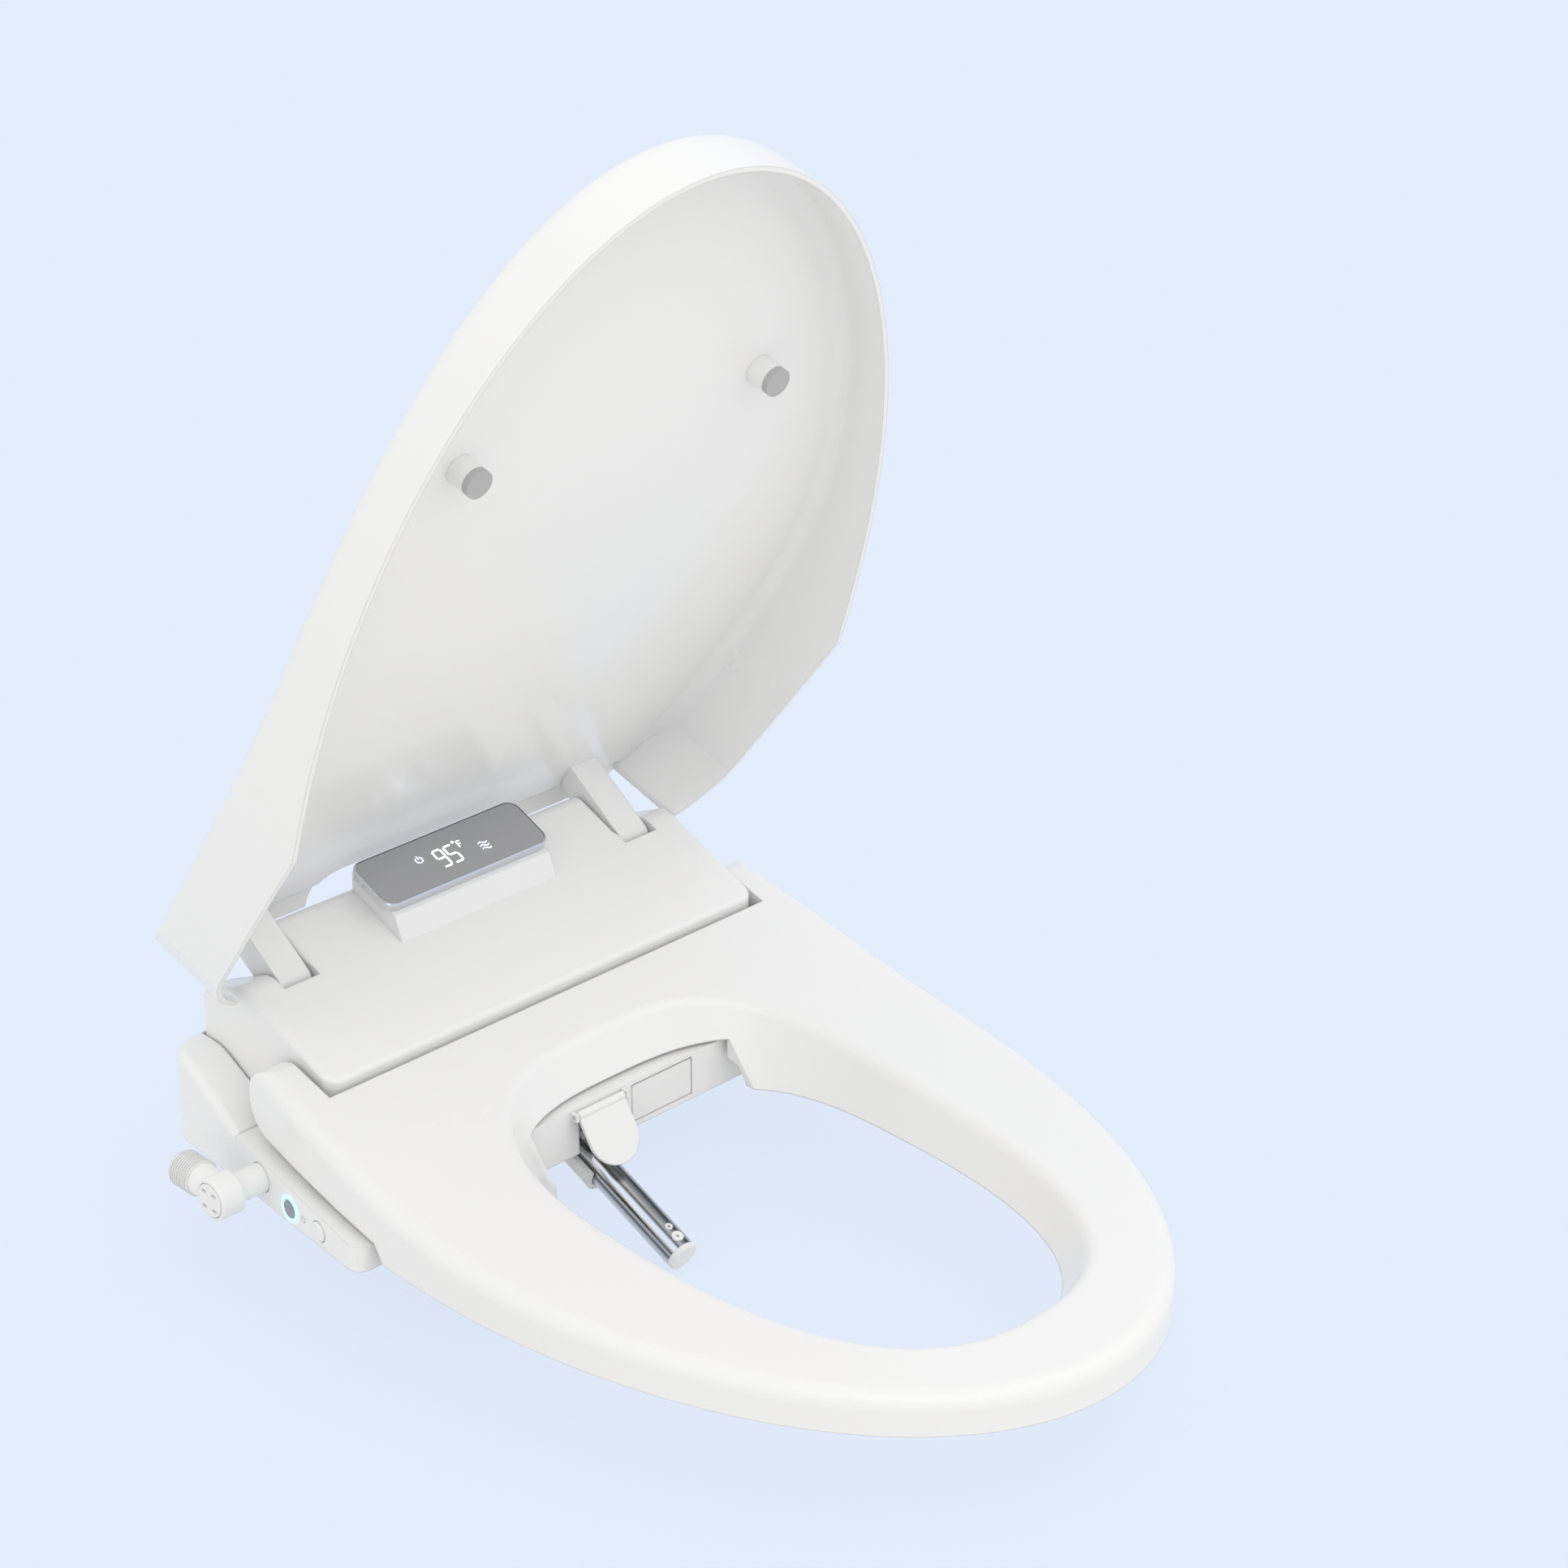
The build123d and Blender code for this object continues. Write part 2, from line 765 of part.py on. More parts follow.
# Lower housing: rear block with sloping shoulders, side arm at -X, nose under the rear of the ring
with BuildPart() as base_tray:
    with BuildSketch(Plane.XY.offset(tray_bottom_z)):
        with BuildLine():
            Polyline(
                (-tray_rear_half, tray_rear_y),
                (tray_rear_half, tray_rear_y),
                (flank_x(shoulder_front_y), shoulder_front_y),
                (-flank_x(shoulder_front_y), shoulder_front_y),
                close=True,
            )
        make_face()
        fillet(vertices().group_by(Axis.Y)[-1], radius=tray_corner_round)
    extrude(amount=shoulder_high_z - tray_bottom_z)
    with BuildSketch(side_plane(-flank_x(arm_front_y))):
        with BuildLine():
            Polyline(
                (shoulder_front_y - 1, shoulder_low_z),
                (shoulder_front_y, shoulder_low_z),
                (shoulder_high_y, shoulder_high_z),
                (shoulder_high_y, shoulder_high_z + 1),
                (shoulder_front_y - 1, shoulder_high_z + 1),
                close=True,
            )
        make_face()
    extrude(amount=2 * flank_x(arm_front_y), mode=Mode.SUBTRACT)
    brow = edges().filter_by(Axis.X).filter_by(lambda e: abs(e.center().Y - shoulder_high_y) < 1)
    fillet(brow, radius=shoulder_round)
    top_edges = edges().filter_by(lambda e: e.center().Z > shoulder_low_z + 5 and abs(e.center().X) > 1)
    fillet(top_edges.filter_by(lambda e: abs(e.center().X) > tray_inner_half), radius=tray_edge_round)
    # side arm with its falling top
    with BuildSketch(Plane.XY.offset(tray_bottom_z)):
        with BuildLine():
            Polyline(
                (-flank_x(shoulder_front_y), shoulder_front_y),
                (-flank_x(arm_front_y), arm_front_y),
                (-arm_inner_half, arm_front_y),
                (-arm_inner_half, shoulder_front_y),
                close=True,
            )
        make_face()
        fillet(vertices().group_by(Axis.Y)[0].sort_by(Axis.X)[0], radius=arm_nose_round)
    arm_plan = extrude(amount=shoulder_low_z, mode=Mode.PRIVATE)
    with BuildSketch(side_plane(-flank_x(arm_front_y) - 1)):
        with BuildLine():
            arm_profile(0)
        make_face()
    arm_side = extrude(amount=flank_x(arm_front_y), mode=Mode.PRIVATE)
    add(arm_plan & arm_side)
    # middle part and nose
    middle_half = tray_inner_half + wall
    block(-middle_half, middle_half, middle_front_y, shoulder_front_y, tray_bottom_z, middle_top_z)
    block(-nose_half, nose_half, nose_front_y, middle_front_y, tray_bottom_z, nose_top_z)
    # hollows
    inner_rear_y = tray_rear_y - wall
    inner_front_y = middle_front_y + wall
    nose_inner = nose_half - wall
    hollow_top = shoulder_high_z + 5
    half = tray_inner_half
    block(-half, half, inner_front_y, inner_rear_y, tray_floor_z, hollow_top, Mode.SUBTRACT)
    hollow_top = nose_top_z - wall
    front_y = nose_front_y + wall
    block(-nose_inner, nose_inner, front_y, inner_front_y, tray_floor_z, hollow_top, Mode.SUBTRACT)
    with BuildSketch(Plane.XY.offset(arm_floor_z)):
        with BuildLine():
            Polyline(
                (-flank_x(arm_hollow_rear_y) + wall, arm_hollow_rear_y),
                (-flank_x(arm_front_y) + wall, arm_front_y + wall),
                (-arm_inner_half - wall, arm_front_y + wall),
                (-arm_inner_half - wall, arm_hollow_rear_y),
                close=True,
            )
        make_face()
    arm_plan = extrude(amount=shoulder_low_z, mode=Mode.PRIVATE)
    with BuildSketch(side_plane(-flank_x(arm_front_y) - 1)):
        with BuildLine():
            arm_profile(arm_roof)
        make_face()
    arm_side = extrude(amount=flank_x(arm_front_y), mode=Mode.PRIVATE)
    add(arm_plan & arm_side, mode=Mode.SUBTRACT)
    for side in (-1, 1):
        x0, x1 = sorted((side * (middle_half + 0.5), side * (tray_rear_half - wall)))
        rear_y = tray_rear_y - tray_corner_round
        block(x0, x1, shoulder_front_y + wall, rear_y, 0, shoulder_low_z - wall, Mode.SUBTRACT)
    # wand mouth and slot in the floor
    mouth_half = cradle_half + mouth_gap
    mouth_x0 = wand_x - mouth_half
    mouth_x1 = wand_x + mouth_half
    block(mouth_x0, mouth_x1, nose_front_y - 5, nose_front_y + 8, 0, mouth_top_z, Mode.SUBTRACT)
    block(mouth_x0, mouth_x1, nose_front_y - 5, mouth_rear_y, 0, tray_floor_z + 1, Mode.SUBTRACT)
    block(mouth_x0, mouth_x1, roof_slot_y, inner_front_y + 1, tray_floor_z, nose_top_z + 1, Mode.SUBTRACT)
    # dryer outlet with the hinge holes of its door
    outlet_x0 = door_x0 - door_gap
    outlet_x1 = door_x1 + door_gap
    outlet_z0 = door_z0 - door_gap
    block(outlet_x0, outlet_x1, nose_front_y - 5, nose_front_y + 8, outlet_z0, outlet_top_z, Mode.SUBTRACT)
    door_pin_start = door_x0 - door_pin_over
    door_pin_length = door_x1 - door_x0 + 2 * door_pin_over
    door_pin_plane = across(door_pin_start, door_pin_y, door_pin_z)
    rod(door_pin_plane, door_pin_r + running, door_pin_length, Mode.SUBTRACT)
    # lugs that carry the gate
    for x0 in (wand_x - gate_half - part_gap - gate_lug, wand_x + gate_half + part_gap):
        z0 = gate_z - gate_barrel_r
        z1 = gate_z + gate_barrel_r
        block(x0, x0 + gate_lug, gate_y - gate_barrel_r, nose_front_y + 1, z0, z1)
    gate_pin_start = wand_x - gate_half - part_gap - gate_lug
    gate_pin_length = 2 * (gate_half + part_gap + gate_lug)
    rod(across(gate_pin_start, gate_y, gate_z), gate_pin_r + running, gate_pin_length, Mode.SUBTRACT)
    # pocket of the bowl plate, screws, side controls, inlet, cable gland
    pocket_x = plate_half_x + plate_gap
    pocket_y = plate_half_y + plate_gap
    block(-pocket_x, pocket_x, -pocket_y, pocket_y, 0, plate_thick + part_gap, Mode.SUBTRACT)
    for x in (-bolt_spacing / 2, bolt_spacing / 2):
        block(x - bolt_head_x, x + bolt_head_x, -bolt_head_y, bolt_head_y, 0, bolt_head_z, Mode.SUBTRACT)
    for x, y in pad_spots:
        rod(upward(x, y, 0), pad_r, pad_thick, Mode.SUBTRACT)
        rod(upward(-x, y, 0), pad_r, pad_thick, Mode.SUBTRACT)
    for x, y, roof in post_spots:
        rod(upward(x, y, 0), screw_head_r + slip, screw_head_z + slip, Mode.SUBTRACT)
        rod(upward(x, y, 0), screw_r + slip, tray_floor_z + 1, Mode.SUBTRACT)
    rod(flank_plane(power_y, control_z, -2 * wall), power_ring_r + slip, 3 * wall, Mode.SUBTRACT)
    rod(flank_plane(wash_y, control_z, -2 * wall), wash_r + slip, 3 * wall, Mode.SUBTRACT)
    tube_start = -flank_x(inlet_y) - wall
    tube_plane = across(tube_start, inlet_y, inlet_z)
    rod(tube_plane, inlet_tube_r + slip, valve_x0 - tube_start, Mode.SUBTRACT)
    rod(rearward(gland_x, inner_rear_y - 1, gland_z), gland_r + slip, wall + 2, Mode.SUBTRACT)
base_tray.part.label = "base_tray"
export_step(base_tray.part, "parts/base_tray.step")

with BuildPart() as mounting_plate:
    with BuildSketch(Plane.XY):
        RectangleRounded(2 * plate_half_x, 2 * plate_half_y, plate_round)
        with Locations((-bolt_spacing / 2, 0), (bolt_spacing / 2, 0)):
            SlotOverall(bolt_slot_length, 2 * bolt_slot_r, mode=Mode.SUBTRACT)
    extrude(amount=plate_thick)
mounting_plate.part.label = "mounting_plate"
export_step(mounting_plate.part, "parts/mounting_plate.step")

with BuildPart() as base_pads:
    for x, y in pad_spots:
        rod(upward(x, y, 0), pad_r, pad_thick)
        rod(upward(-x, y, 0), pad_r, pad_thick)
base_pads.part.label = "base_pads"
export_step(base_pads.part, "parts/base_pads.step")

# Top cover: sloping roof that runs further back between the lid's lugs, display tower, hinge pockets
def slope_z(y):
    """Height of the sloping roof."""
    return cover_front_z + (y - cover_front_y) * tan(radians(cover_slope))


cover_crest_z = slope_z(cover_crest_y)
cover_middle_crest_z = slope_z(cover_middle_crest_y)
cover_middle_half = lid_lug_in - notch_gap
skirt_step_y = cover_front_y + skirt_step
with BuildPart() as cover_middle:
    with BuildSketch(side_plane(-cover_middle_half)):
        with BuildLine():
            Polyline(
                (tower_low_y, skirt_low_z),
                (tower_low_y, slope_z(tower_low_y)),
                (cover_middle_crest_y, cover_middle_crest_z),
                (cover_rear_y, cover_middle_rear_z),
                (cover_rear_y, skirt_low_z),
                close=True,
            )
        make_face()
    extrude(amount=2 * cover_middle_half)
    roof_edges = ((cover_middle_crest_z, cover_middle_round), (cover_middle_rear_z, cover_rear_round))
    for edge_z, edge_round in roof_edges:
        long_edges = edges().filter_by(Axis.X)
        fillet(long_edges.filter_by(lambda e: abs(e.center().Z - edge_z) < 0.1), radius=edge_round)
    side_edges = edges().filter_by(lambda e: abs(abs(e.center().X) - cover_middle_half) < 0.01)
    side_edges = side_edges.filter_by(lambda e: e.center().Z > slope_z(tower_low_y) and e.center().Y > 0)
    fillet(side_edges, radius=cover_middle_side_round)

with BuildPart() as top_cover:
    with BuildSketch(side_plane(-cover_half)):
        with BuildLine():
            Polyline(
                (cover_front_y, cover_skirt_z),
                (cover_front_y, cover_front_z),
                (cover_crest_y, cover_crest_z),
                (cover_rear_y, cover_rear_z),
                (cover_rear_y, skirt_low_z),
                (skirt_step_y, skirt_low_z),
                (skirt_step_y, cover_skirt_z),
                close=True,
            )
        make_face()
    extrude(amount=2 * cover_half)
    roof_edges = ((cover_crest_z, cover_crest_round), (cover_rear_z, cover_rear_round))
    for edge_z, edge_round in roof_edges:
        long_edges = edges().filter_by(Axis.X)
        fillet(long_edges.filter_by(lambda e: abs(e.center().Z - edge_z) < 0.1), radius=edge_round)
    front_corners = edges().filter_by(Axis.Z).filter_by(lambda e: abs(e.center().Y - cover_front_y) < 0.1)
    fillet(front_corners, radius=cover_corner_round)
    roof = faces().filter_by(lambda f: f.normal_at().dot(Vector(*cover_normal)) > 0.999)
    roof_rim = roof.edges().filter_by(lambda e: e.center().Y < cover_crest_y - cover_crest_round)
    fillet(roof_rim, radius=cover_side_round)
    add(cover_middle.part)
    with BuildSketch(side_plane(-tower_half)):
        with BuildLine():
            Polyline(
                cover_point(tower_foot_v, -1),
                cover_point(tower_front_v, tower_height),
                cover_point(tower_back_v, tower_height),
                (tower_back_y, tower_low_z),
                (tower_low_y, tower_low_z),
                close=True,
            )
        make_face()
    extrude(amount=2 * tower_half)
    for side in (-1, 1):
        notch_x0, notch_x1 = sorted((side * (lid_lug_in - notch_gap), side * (lid_lug_out + notch_gap)))
        block(notch_x0, notch_x1, notch_front_y, tray_rear_y, notch_low_z, 2 * lid_hinge_z, Mode.SUBTRACT)
    with BuildSketch(side_plane(-cover_half + wall)):
        with BuildLine():
            Polyline(
                (cover_front_y + wall, 0),
                (cover_front_y + wall, cover_front_z - wall),
                (cover_crest_y, cover_crest_z - wall * 1.1),
                (cover_rear_y - wall, cover_rear_z - wall * 0.3),
                (cover_rear_y - wall, 0),
                close=True,
            )
        make_face()
    side_hollow = extrude(amount=2 * (cover_half - wall), mode=Mode.PRIVATE)
    with BuildSketch(side_plane(-cover_middle_half + wall)):
        with BuildLine():
            Polyline(
                (tower_low_y, 0),
                (tower_low_y, slope_z(tower_low_y) - wall * 1.1),
                (cover_middle_crest_y - 2 * wall, slope_z(cover_middle_crest_y - 2 * wall) - wall * 1.1),
                (cover_rear_y - wall, cover_middle_rear_z - 2 * wall),
                (cover_rear_y - wall, 0),
                close=True,
            )
        make_face()
    cover_hollow = side_hollow + extrude(amount=2 * (cover_middle_half - wall), mode=Mode.PRIVATE)
    for side in (-1, 1):
        pocket = Box(
            lid_lug_out - lid_lug_in + 2 * (notch_gap + wall),
            tray_rear_y - notch_front_y + wall,
            2 * lid_hinge_z,
            mode=Mode.PRIVATE,
        )
        pocket_mid_x = side * (lid_lug_in + lid_lug_out) / 2
        pocket_mid_y = (tray_rear_y + notch_front_y - wall) / 2
        pocket_mid_z = notch_low_z - wall + lid_hinge_z
        cover_hollow = cover_hollow - upward(pocket_mid_x, pocket_mid_y, pocket_mid_z) * pocket
    add(cover_hollow, mode=Mode.SUBTRACT)
    with BuildSketch(side_plane(-tower_half + wall)):
        with BuildLine():
            Polyline(
                cover_point(tower_foot_v + 2 * wall, -2 * wall),
                cover_point(tower_front_v + wall, tower_height - wall),
                cover_point(tower_back_v - wall, tower_height - wall),
                (tower_back_y - wall, tower_low_z - wall),
                (tower_low_y, tower_low_z - wall),
                close=True,
            )
        make_face()
    extrude(amount=2 * (tower_half - wall), mode=Mode.SUBTRACT)
    # screw posts and hinge bearings
    for x, y, roof in post_spots:
        rod(upward(x, y, tray_floor_z + part_gap), post_r, roof - tray_floor_z - part_gap)
        rod(upward(x, y, tray_floor_z), screw_r + running, screw_reach_z - tray_floor_z + 1, Mode.SUBTRACT)
    for side in (-1, 1):
        boss_x = cover_half - wall - bearing_length
        start = boss_x if side > 0 else -cover_half + wall
        rod(across(start, ring_pivot_y, ring_pivot_z), bearing_r, bearing_length)
        start = boss_x if side > 0 else -cover_half
        pin_plane = across(start, ring_pivot_y, ring_pivot_z)
        rod(pin_plane, ring_pin_r + running, bearing_length + wall, Mode.SUBTRACT)
        start = lid_pin_in if side > 0 else -lid_pin_in - lid_pin_length
        rod(across(start, lid_hinge_y, lid_hinge_z), lid_pin_r + running, lid_pin_length, Mode.SUBTRACT)
top_cover.part.label = "top_cover"
export_step(top_cover.part, "parts/top_cover.step")

with BuildPart() as cover_screws:
    for x, y, roof in post_spots:
        rod(upward(x, y, screw_head_z - screw_head_high), screw_head_r, screw_head_high)
        rod(upward(x, y, screw_head_z), screw_r, screw_reach_z - screw_head_z)
cover_screws.part.label = "cover_screws"
export_step(cover_screws.part, "parts/cover_screws.step")

# Display slab on the tower
display_mid_v = (display_front_v + display_back_v) / 2
display_depth = display_back_v - display_front_v
display_n = tower_height + slip
with BuildPart() as display_bezel:
    with BuildSketch(cover_plane(display_n)):
        with Locations((0, display_mid_v)):
            RectangleRounded(2 * display_half, display_depth, display_round)
    extrude(amount=display_thick)
    front_face = faces().filter_by(lambda f: f.normal_at().dot(Vector(*cover_normal)) > 0.99)
    chamfer(front_face.edges(), length=display_bevel)
    with BuildSketch(cover_plane(display_n + display_thick - display_glass - slip)):
        with Locations((0, display_mid_v)):
            RectangleRounded(
                2 * (display_half - display_rim),
                display_depth - 2 * display_rim,
                display_round - display_rim,
            )
    extrude(amount=display_thick, mode=Mode.SUBTRACT)
display_bezel.part.label = "display_bezel"
export_step(display_bezel.part, "parts/display_bezel.step")

with BuildPart() as display_window:
    with BuildSketch(cover_plane(display_n + display_thick - display_glass - slip)):
        with Locations((0, display_mid_v)):
            RectangleRounded(
                2 * (display_half - display_rim - slip),
                display_depth - 2 * (display_rim + slip),
                display_round - display_rim - slip,
            )
    extrude(amount=display_glass)
display_window.part.label = "display_window"
export_step(display_window.part, "parts/display_window.step")

with BuildPart() as display_board:
    with BuildSketch(cover_plane(display_board_n)):
        with Locations((0, display_mid_v)):
            Rectangle(2 * display_board_half, display_board_depth)
    extrude(amount=board_thick)
    with BuildSketch(cover_plane(display_board_n + board_thick)):
        with Locations((-display_leg_x, display_mid_v), (display_leg_x, display_mid_v)):
            Circle(board_leg_r)
    extrude(amount=tower_height - wall - display_board_n - board_thick)
display_board.part.label = "display_board"
export_step(display_board.part, "parts/display_board.step")

# Lid: a deep tray turned over, shown open; drawn in its closed position on planes turned with it
def lid_outline(inset):
    """Plan of the lid moved inward by inset, with sharp rear corners, drawn in the open line block."""
    half = lid_half_width - inset
    rear = lid_rear_half - inset
    front_y = lid_widest_y - lid_hinge_y
    rear_y = lid_rear_y - inset - lid_hinge_y
    EllipticalCenterArc((0, front_y), half, lid_front_reach - inset, 180, arc_size=180)
    TangentArc((half, front_y), (rear, rear_y), tangent=(0, 1))
    Line((rear, rear_y), (-rear, rear_y))
    TangentArc((-half, front_y), (-rear, rear_y), tangent=(0, 1))


def lid_profile(drop, rim_drop):
    """Side view of the lid with its top lowered by drop and its rim by rim_drop."""
    front = lid_widest_y - lid_front_reach - 5
    rear = lid_rear_y + 5
    Spline(
        lid_point(front, lid_front_top_z - drop),
        *[lid_point(y, z - drop) for y, z in lid_top_points],
        lid_point(rear, lid_rear_top_z - drop),
        tangents=((1, 0), (1, lid_rear_rise)),
    )
    Polyline(
        lid_point(rear, lid_rear_top_z - drop),
        lid_point(rear, lid_rear_rim_z - rim_drop),
        lid_point(lid_kink_y, lid_kink_z - rim_drop),
        lid_point(front, lid_tip_rim_z - rim_drop),
        lid_point(front, lid_front_top_z - drop),
    )


def lid_rear_frame(inset):
    """Plan with rounded rear corners, wider than the lid elsewhere, drawn in the open line block."""
    rear = lid_rear_half - inset + 0.2
    rear_y = lid_rear_y - inset - lid_hinge_y
    spread = 2 * (lid_half_width - lid_rear_half) / (lid_rear_y - lid_widest_y)
    front_y = lid_widest_y - lid_hinge_y
    wide = rear + spread * (rear_y - front_y)
    Polyline(
        (-wide, front_y),
        (-rear, rear_y),
        (rear, rear_y),
        (wide, front_y),
        (wide, front_y - lid_front_reach - 20),
        (-wide, front_y - lid_front_reach - 20),
        close=True,
    )


def lid_brim(candidates):
    """Long top edges of the lid at its front and sides."""
    frame = lid_plane()
    chosen = []
    for edge in candidates.filter_by(GeomType.BSPLINE):
        spot = frame.to_local_coords(edge.center())
        if spot.Z > lid_kink_z - lid_hinge_z and spot.Y < 0:
            chosen.append(edge)
    return chosen


def lid_spot(x, y, z):
    """Plane facing the lid's top through a point given in the closed position."""
    frame = lid_plane()
    origin = frame.from_local_coords((x, y - lid_hinge_y, z - lid_hinge_z))
    return Plane(origin=origin, x_dir=(1, 0, 0), z_dir=lid_top)


lid_span = 2 * lid_half_width + 10
with BuildPart() as lid_hollow:
    with BuildSketch(lid_plane(-2 * lid_hinge_z)):
        with BuildLine():
            lid_outline(lid_wall)
        make_face()
    extrude(amount=4 * lid_hinge_z)
    with BuildSketch(lid_side(-lid_span / 2)):
        with BuildLine():
            lid_profile(lid_wall, lid_hinge_z)
        make_face()
    extrude(amount=lid_span, mode=Mode.INTERSECT)
    fillet(lid_brim(lid_hollow.edges()), radius=lid_dish_round)
    with BuildSketch(lid_plane(-2 * lid_hinge_z)):
        with BuildLine():
            lid_rear_frame(lid_wall)
        make_face()
        fillet(vertices().group_by(Axis.Y)[-1], radius=lid_corner_round - lid_wall)
    extrude(amount=4 * lid_hinge_z, mode=Mode.INTERSECT)

with BuildPart() as lid_shell:
    with BuildSketch(lid_plane(-2 * lid_hinge_z)):
        with BuildLine():
            lid_outline(0)
        make_face()
    extrude(amount=4 * lid_hinge_z)
    with BuildSketch(lid_side(-lid_span / 2)):
        with BuildLine():
            lid_profile(0, 0)
        make_face()
    extrude(amount=lid_span, mode=Mode.INTERSECT)
    fillet(lid_brim(lid_shell.edges()), radius=lid_edge_round)
    with BuildSketch(lid_plane(-2 * lid_hinge_z)):
        with BuildLine():
            lid_rear_frame(0)
        make_face()
        fillet(vertices().group_by(Axis.Y)[-1], radius=lid_corner_round)
    extrude(amount=4 * lid_hinge_z, mode=Mode.INTERSECT)
    add(lid_hollow.part, mode=Mode.SUBTRACT)
    # open rear between the corners
    with BuildSketch(lid_side(-lid_open_half)):
        with BuildLine():
            Polyline(
                lid_point(lid_rear_y - lid_open_depth, 0),
                lid_point(lid_rear_y - lid_open_depth, lid_rear_top_z - lid_rear_thick),
                lid_point(lid_rear_y + 5, lid_rear_top_z - lid_rear_thick),
                lid_point(lid_rear_y + 5, 0),
                close=True,
            )
        make_face()
    extrude(amount=2 * lid_open_half, mode=Mode.SUBTRACT)
    # cut-out in the rear edge for the display
    with BuildSketch(lid_plane(-2 * lid_hinge_z)):
        with Locations((0, lid_notch_y - lid_hinge_y + lid_hinge_z / 2)):
            RectangleRounded(2 * lid_notch_half, lid_hinge_z, lid_notch_round)
    extrude(amount=4 * lid_hinge_z, mode=Mode.SUBTRACT)
    # hinge lugs and bumper posts
    for start in (-lid_lug_out, lid_lug_in):
        with BuildSketch(lid_side(start)):
            with BuildLine():
                Polyline(
                    lug_point(-lid_lug_r, 0),
                    lug_point(-lid_lug_r, lid_lug_front_length),
                    lug_point(lid_lug_r, lid_lug_rear_length),
                    lug_point(lid_lug_r, 0),
                    close=True,
                )
            make_face()
            Circle(lid_lug_r)
            Circle(lid_pin_r + running, mode=Mode.SUBTRACT)
        extrude(amount=lid_lug_out - lid_lug_in)
    for x in (-lid_post_x, lid_post_x):
        rod(lid_spot(x, lid_post_y, lid_post_end_z), lid_post_r, lid_post_top_z - lid_post_end_z)
lid_shell.part.label = "lid_shell"
export_step(lid_shell.part, "parts/lid_shell.step")

with BuildPart() as lid_pads:
    for x in (-lid_post_x, lid_post_x):
        rod(lid_spot(x, lid_post_y, lid_post_end_z - lid_pad_thick), lid_post_r, lid_pad_thick)
lid_pads.part.label = "lid_pads"
export_step(lid_pads.part, "parts/lid_pads.step")

with BuildPart() as lid_pins:
    for start in (lid_pin_in, -lid_pin_in - lid_pin_length):
        rod(across(start, lid_hinge_y, lid_hinge_z), lid_pin_r, lid_pin_length)
lid_pins.part.label = "lid_pins"
export_step(lid_pins.part, "parts/lid_pins.step")

with BuildPart() as lid_damper:
    start = -lid_pin_in + part_gap
    rod(across(start, lid_hinge_y, lid_hinge_z), lid_damper_r, lid_damper_length)
lid_damper.part.label = "lid_damper"
export_step(lid_damper.part, "parts/lid_damper.step")

with BuildPart() as ring_damper:
    start = cover_half - wall - bearing_length - part_gap - ring_damper_length
    rod(across(start, ring_pivot_y, ring_pivot_z), ring_damper_r, ring_damper_length)
    block(
        start,
        start + ring_damper_length / 2,
        ring_pivot_y - ring_damper_r,
        ring_pivot_y + ring_damper_r,
        ring_pivot_z - ring_damper_r,
        ring_pivot_z,
    )
ring_damper.part.label = "ring_damper"
export_step(ring_damper.part, "parts/ring_damper.step")

# Wand, shown run out, with rack, pinion and motor
wand_tip = -wand_out
wand_rear = wand_tip + wand_length
with BuildPart() as wand_tube:
    rod(wand_plane(wand_tip + tip_length), wand_r, wand_length - tip_length)
    rod(wand_plane(wand_tip + tip_length - 1), wand_r - wand_wall, wand_length, Mode.SUBTRACT)
    with BuildSketch(wand_side(wand_x - rack_half - slip)):
        with BuildLine():
            Polyline(
                (wand_tip + rack_start - slip, rack_foot),
                (wand_rear + 1, rack_foot),
                (wand_rear + 1, wand_r + 1),
                (wand_tip + rack_start - slip, wand_r + 1),
                close=True,
            )
        make_face()
    extrude(amount=2 * (rack_half + slip), mode=Mode.SUBTRACT)
    for along, disc_r in spray_discs_at:
        rod(wand_top_plane(wand_tip + along, wand_r - disc_sink), disc_r + running, wand_r, Mode.SUBTRACT)
wand_tube.part.label = "wand_tube"
export_step(wand_tube.part, "parts/wand_tube.step")

with BuildPart() as wand_cap:
    rod(wand_plane(wand_tip), wand_r, tip_length)
    chamfer(wand_cap.edges().sort_by(Axis.Y)[0], length=tip_bevel)
    rod(wand_plane(wand_tip + tip_length), wand_r - wand_wall - slip, tip_plug)
    for along, disc_r in spray_discs_at:
        disc_plane = wand_top_plane(wand_tip + along, wand_r - disc_sink - slip)
        rod(disc_plane, disc_r + running, wand_r, Mode.SUBTRACT)
wand_cap.part.label = "wand_cap"
export_step(wand_cap.part, "parts/wand_cap.step")

with BuildPart() as spray_discs:
    for along, disc_r in spray_discs_at:
        disc_plane = wand_top_plane(wand_tip + along, wand_r - disc_sink)
        rod(disc_plane, disc_r, disc_sink + disc_stand)
        rod(disc_plane, spray_hole_r, 2 * disc_sink, Mode.SUBTRACT)
spray_discs.part.label = "spray_discs"
export_step(spray_discs.part, "parts/spray_discs.step")

tooth_step = 2 * pi * pitch_r / tooth_count
rack_first = pinion_at + tooth_step / 2
with BuildPart() as wand_rack:
    with BuildSketch(wand_side(wand_x - rack_half)):
        with BuildLine():
            Polyline(
                (wand_tip + rack_start, rack_foot),
                (wand_tip + rack_end, rack_foot),
                (wand_tip + rack_end, rack_root),
                (wand_tip + rack_start, rack_root),
                close=True,
            )
        make_face()
        for step in range(rack_teeth_low, rack_teeth_high):
            with Locations((rack_first + step * tooth_step, rack_root + tooth_high / 2 - 0.2)):
                Rectangle(tooth_thick, tooth_high + 0.4)
    extrude(amount=2 * rack_half)
wand_rack.part.label = "wand_rack"
export_step(wand_rack.part, "parts/wand_rack.step")

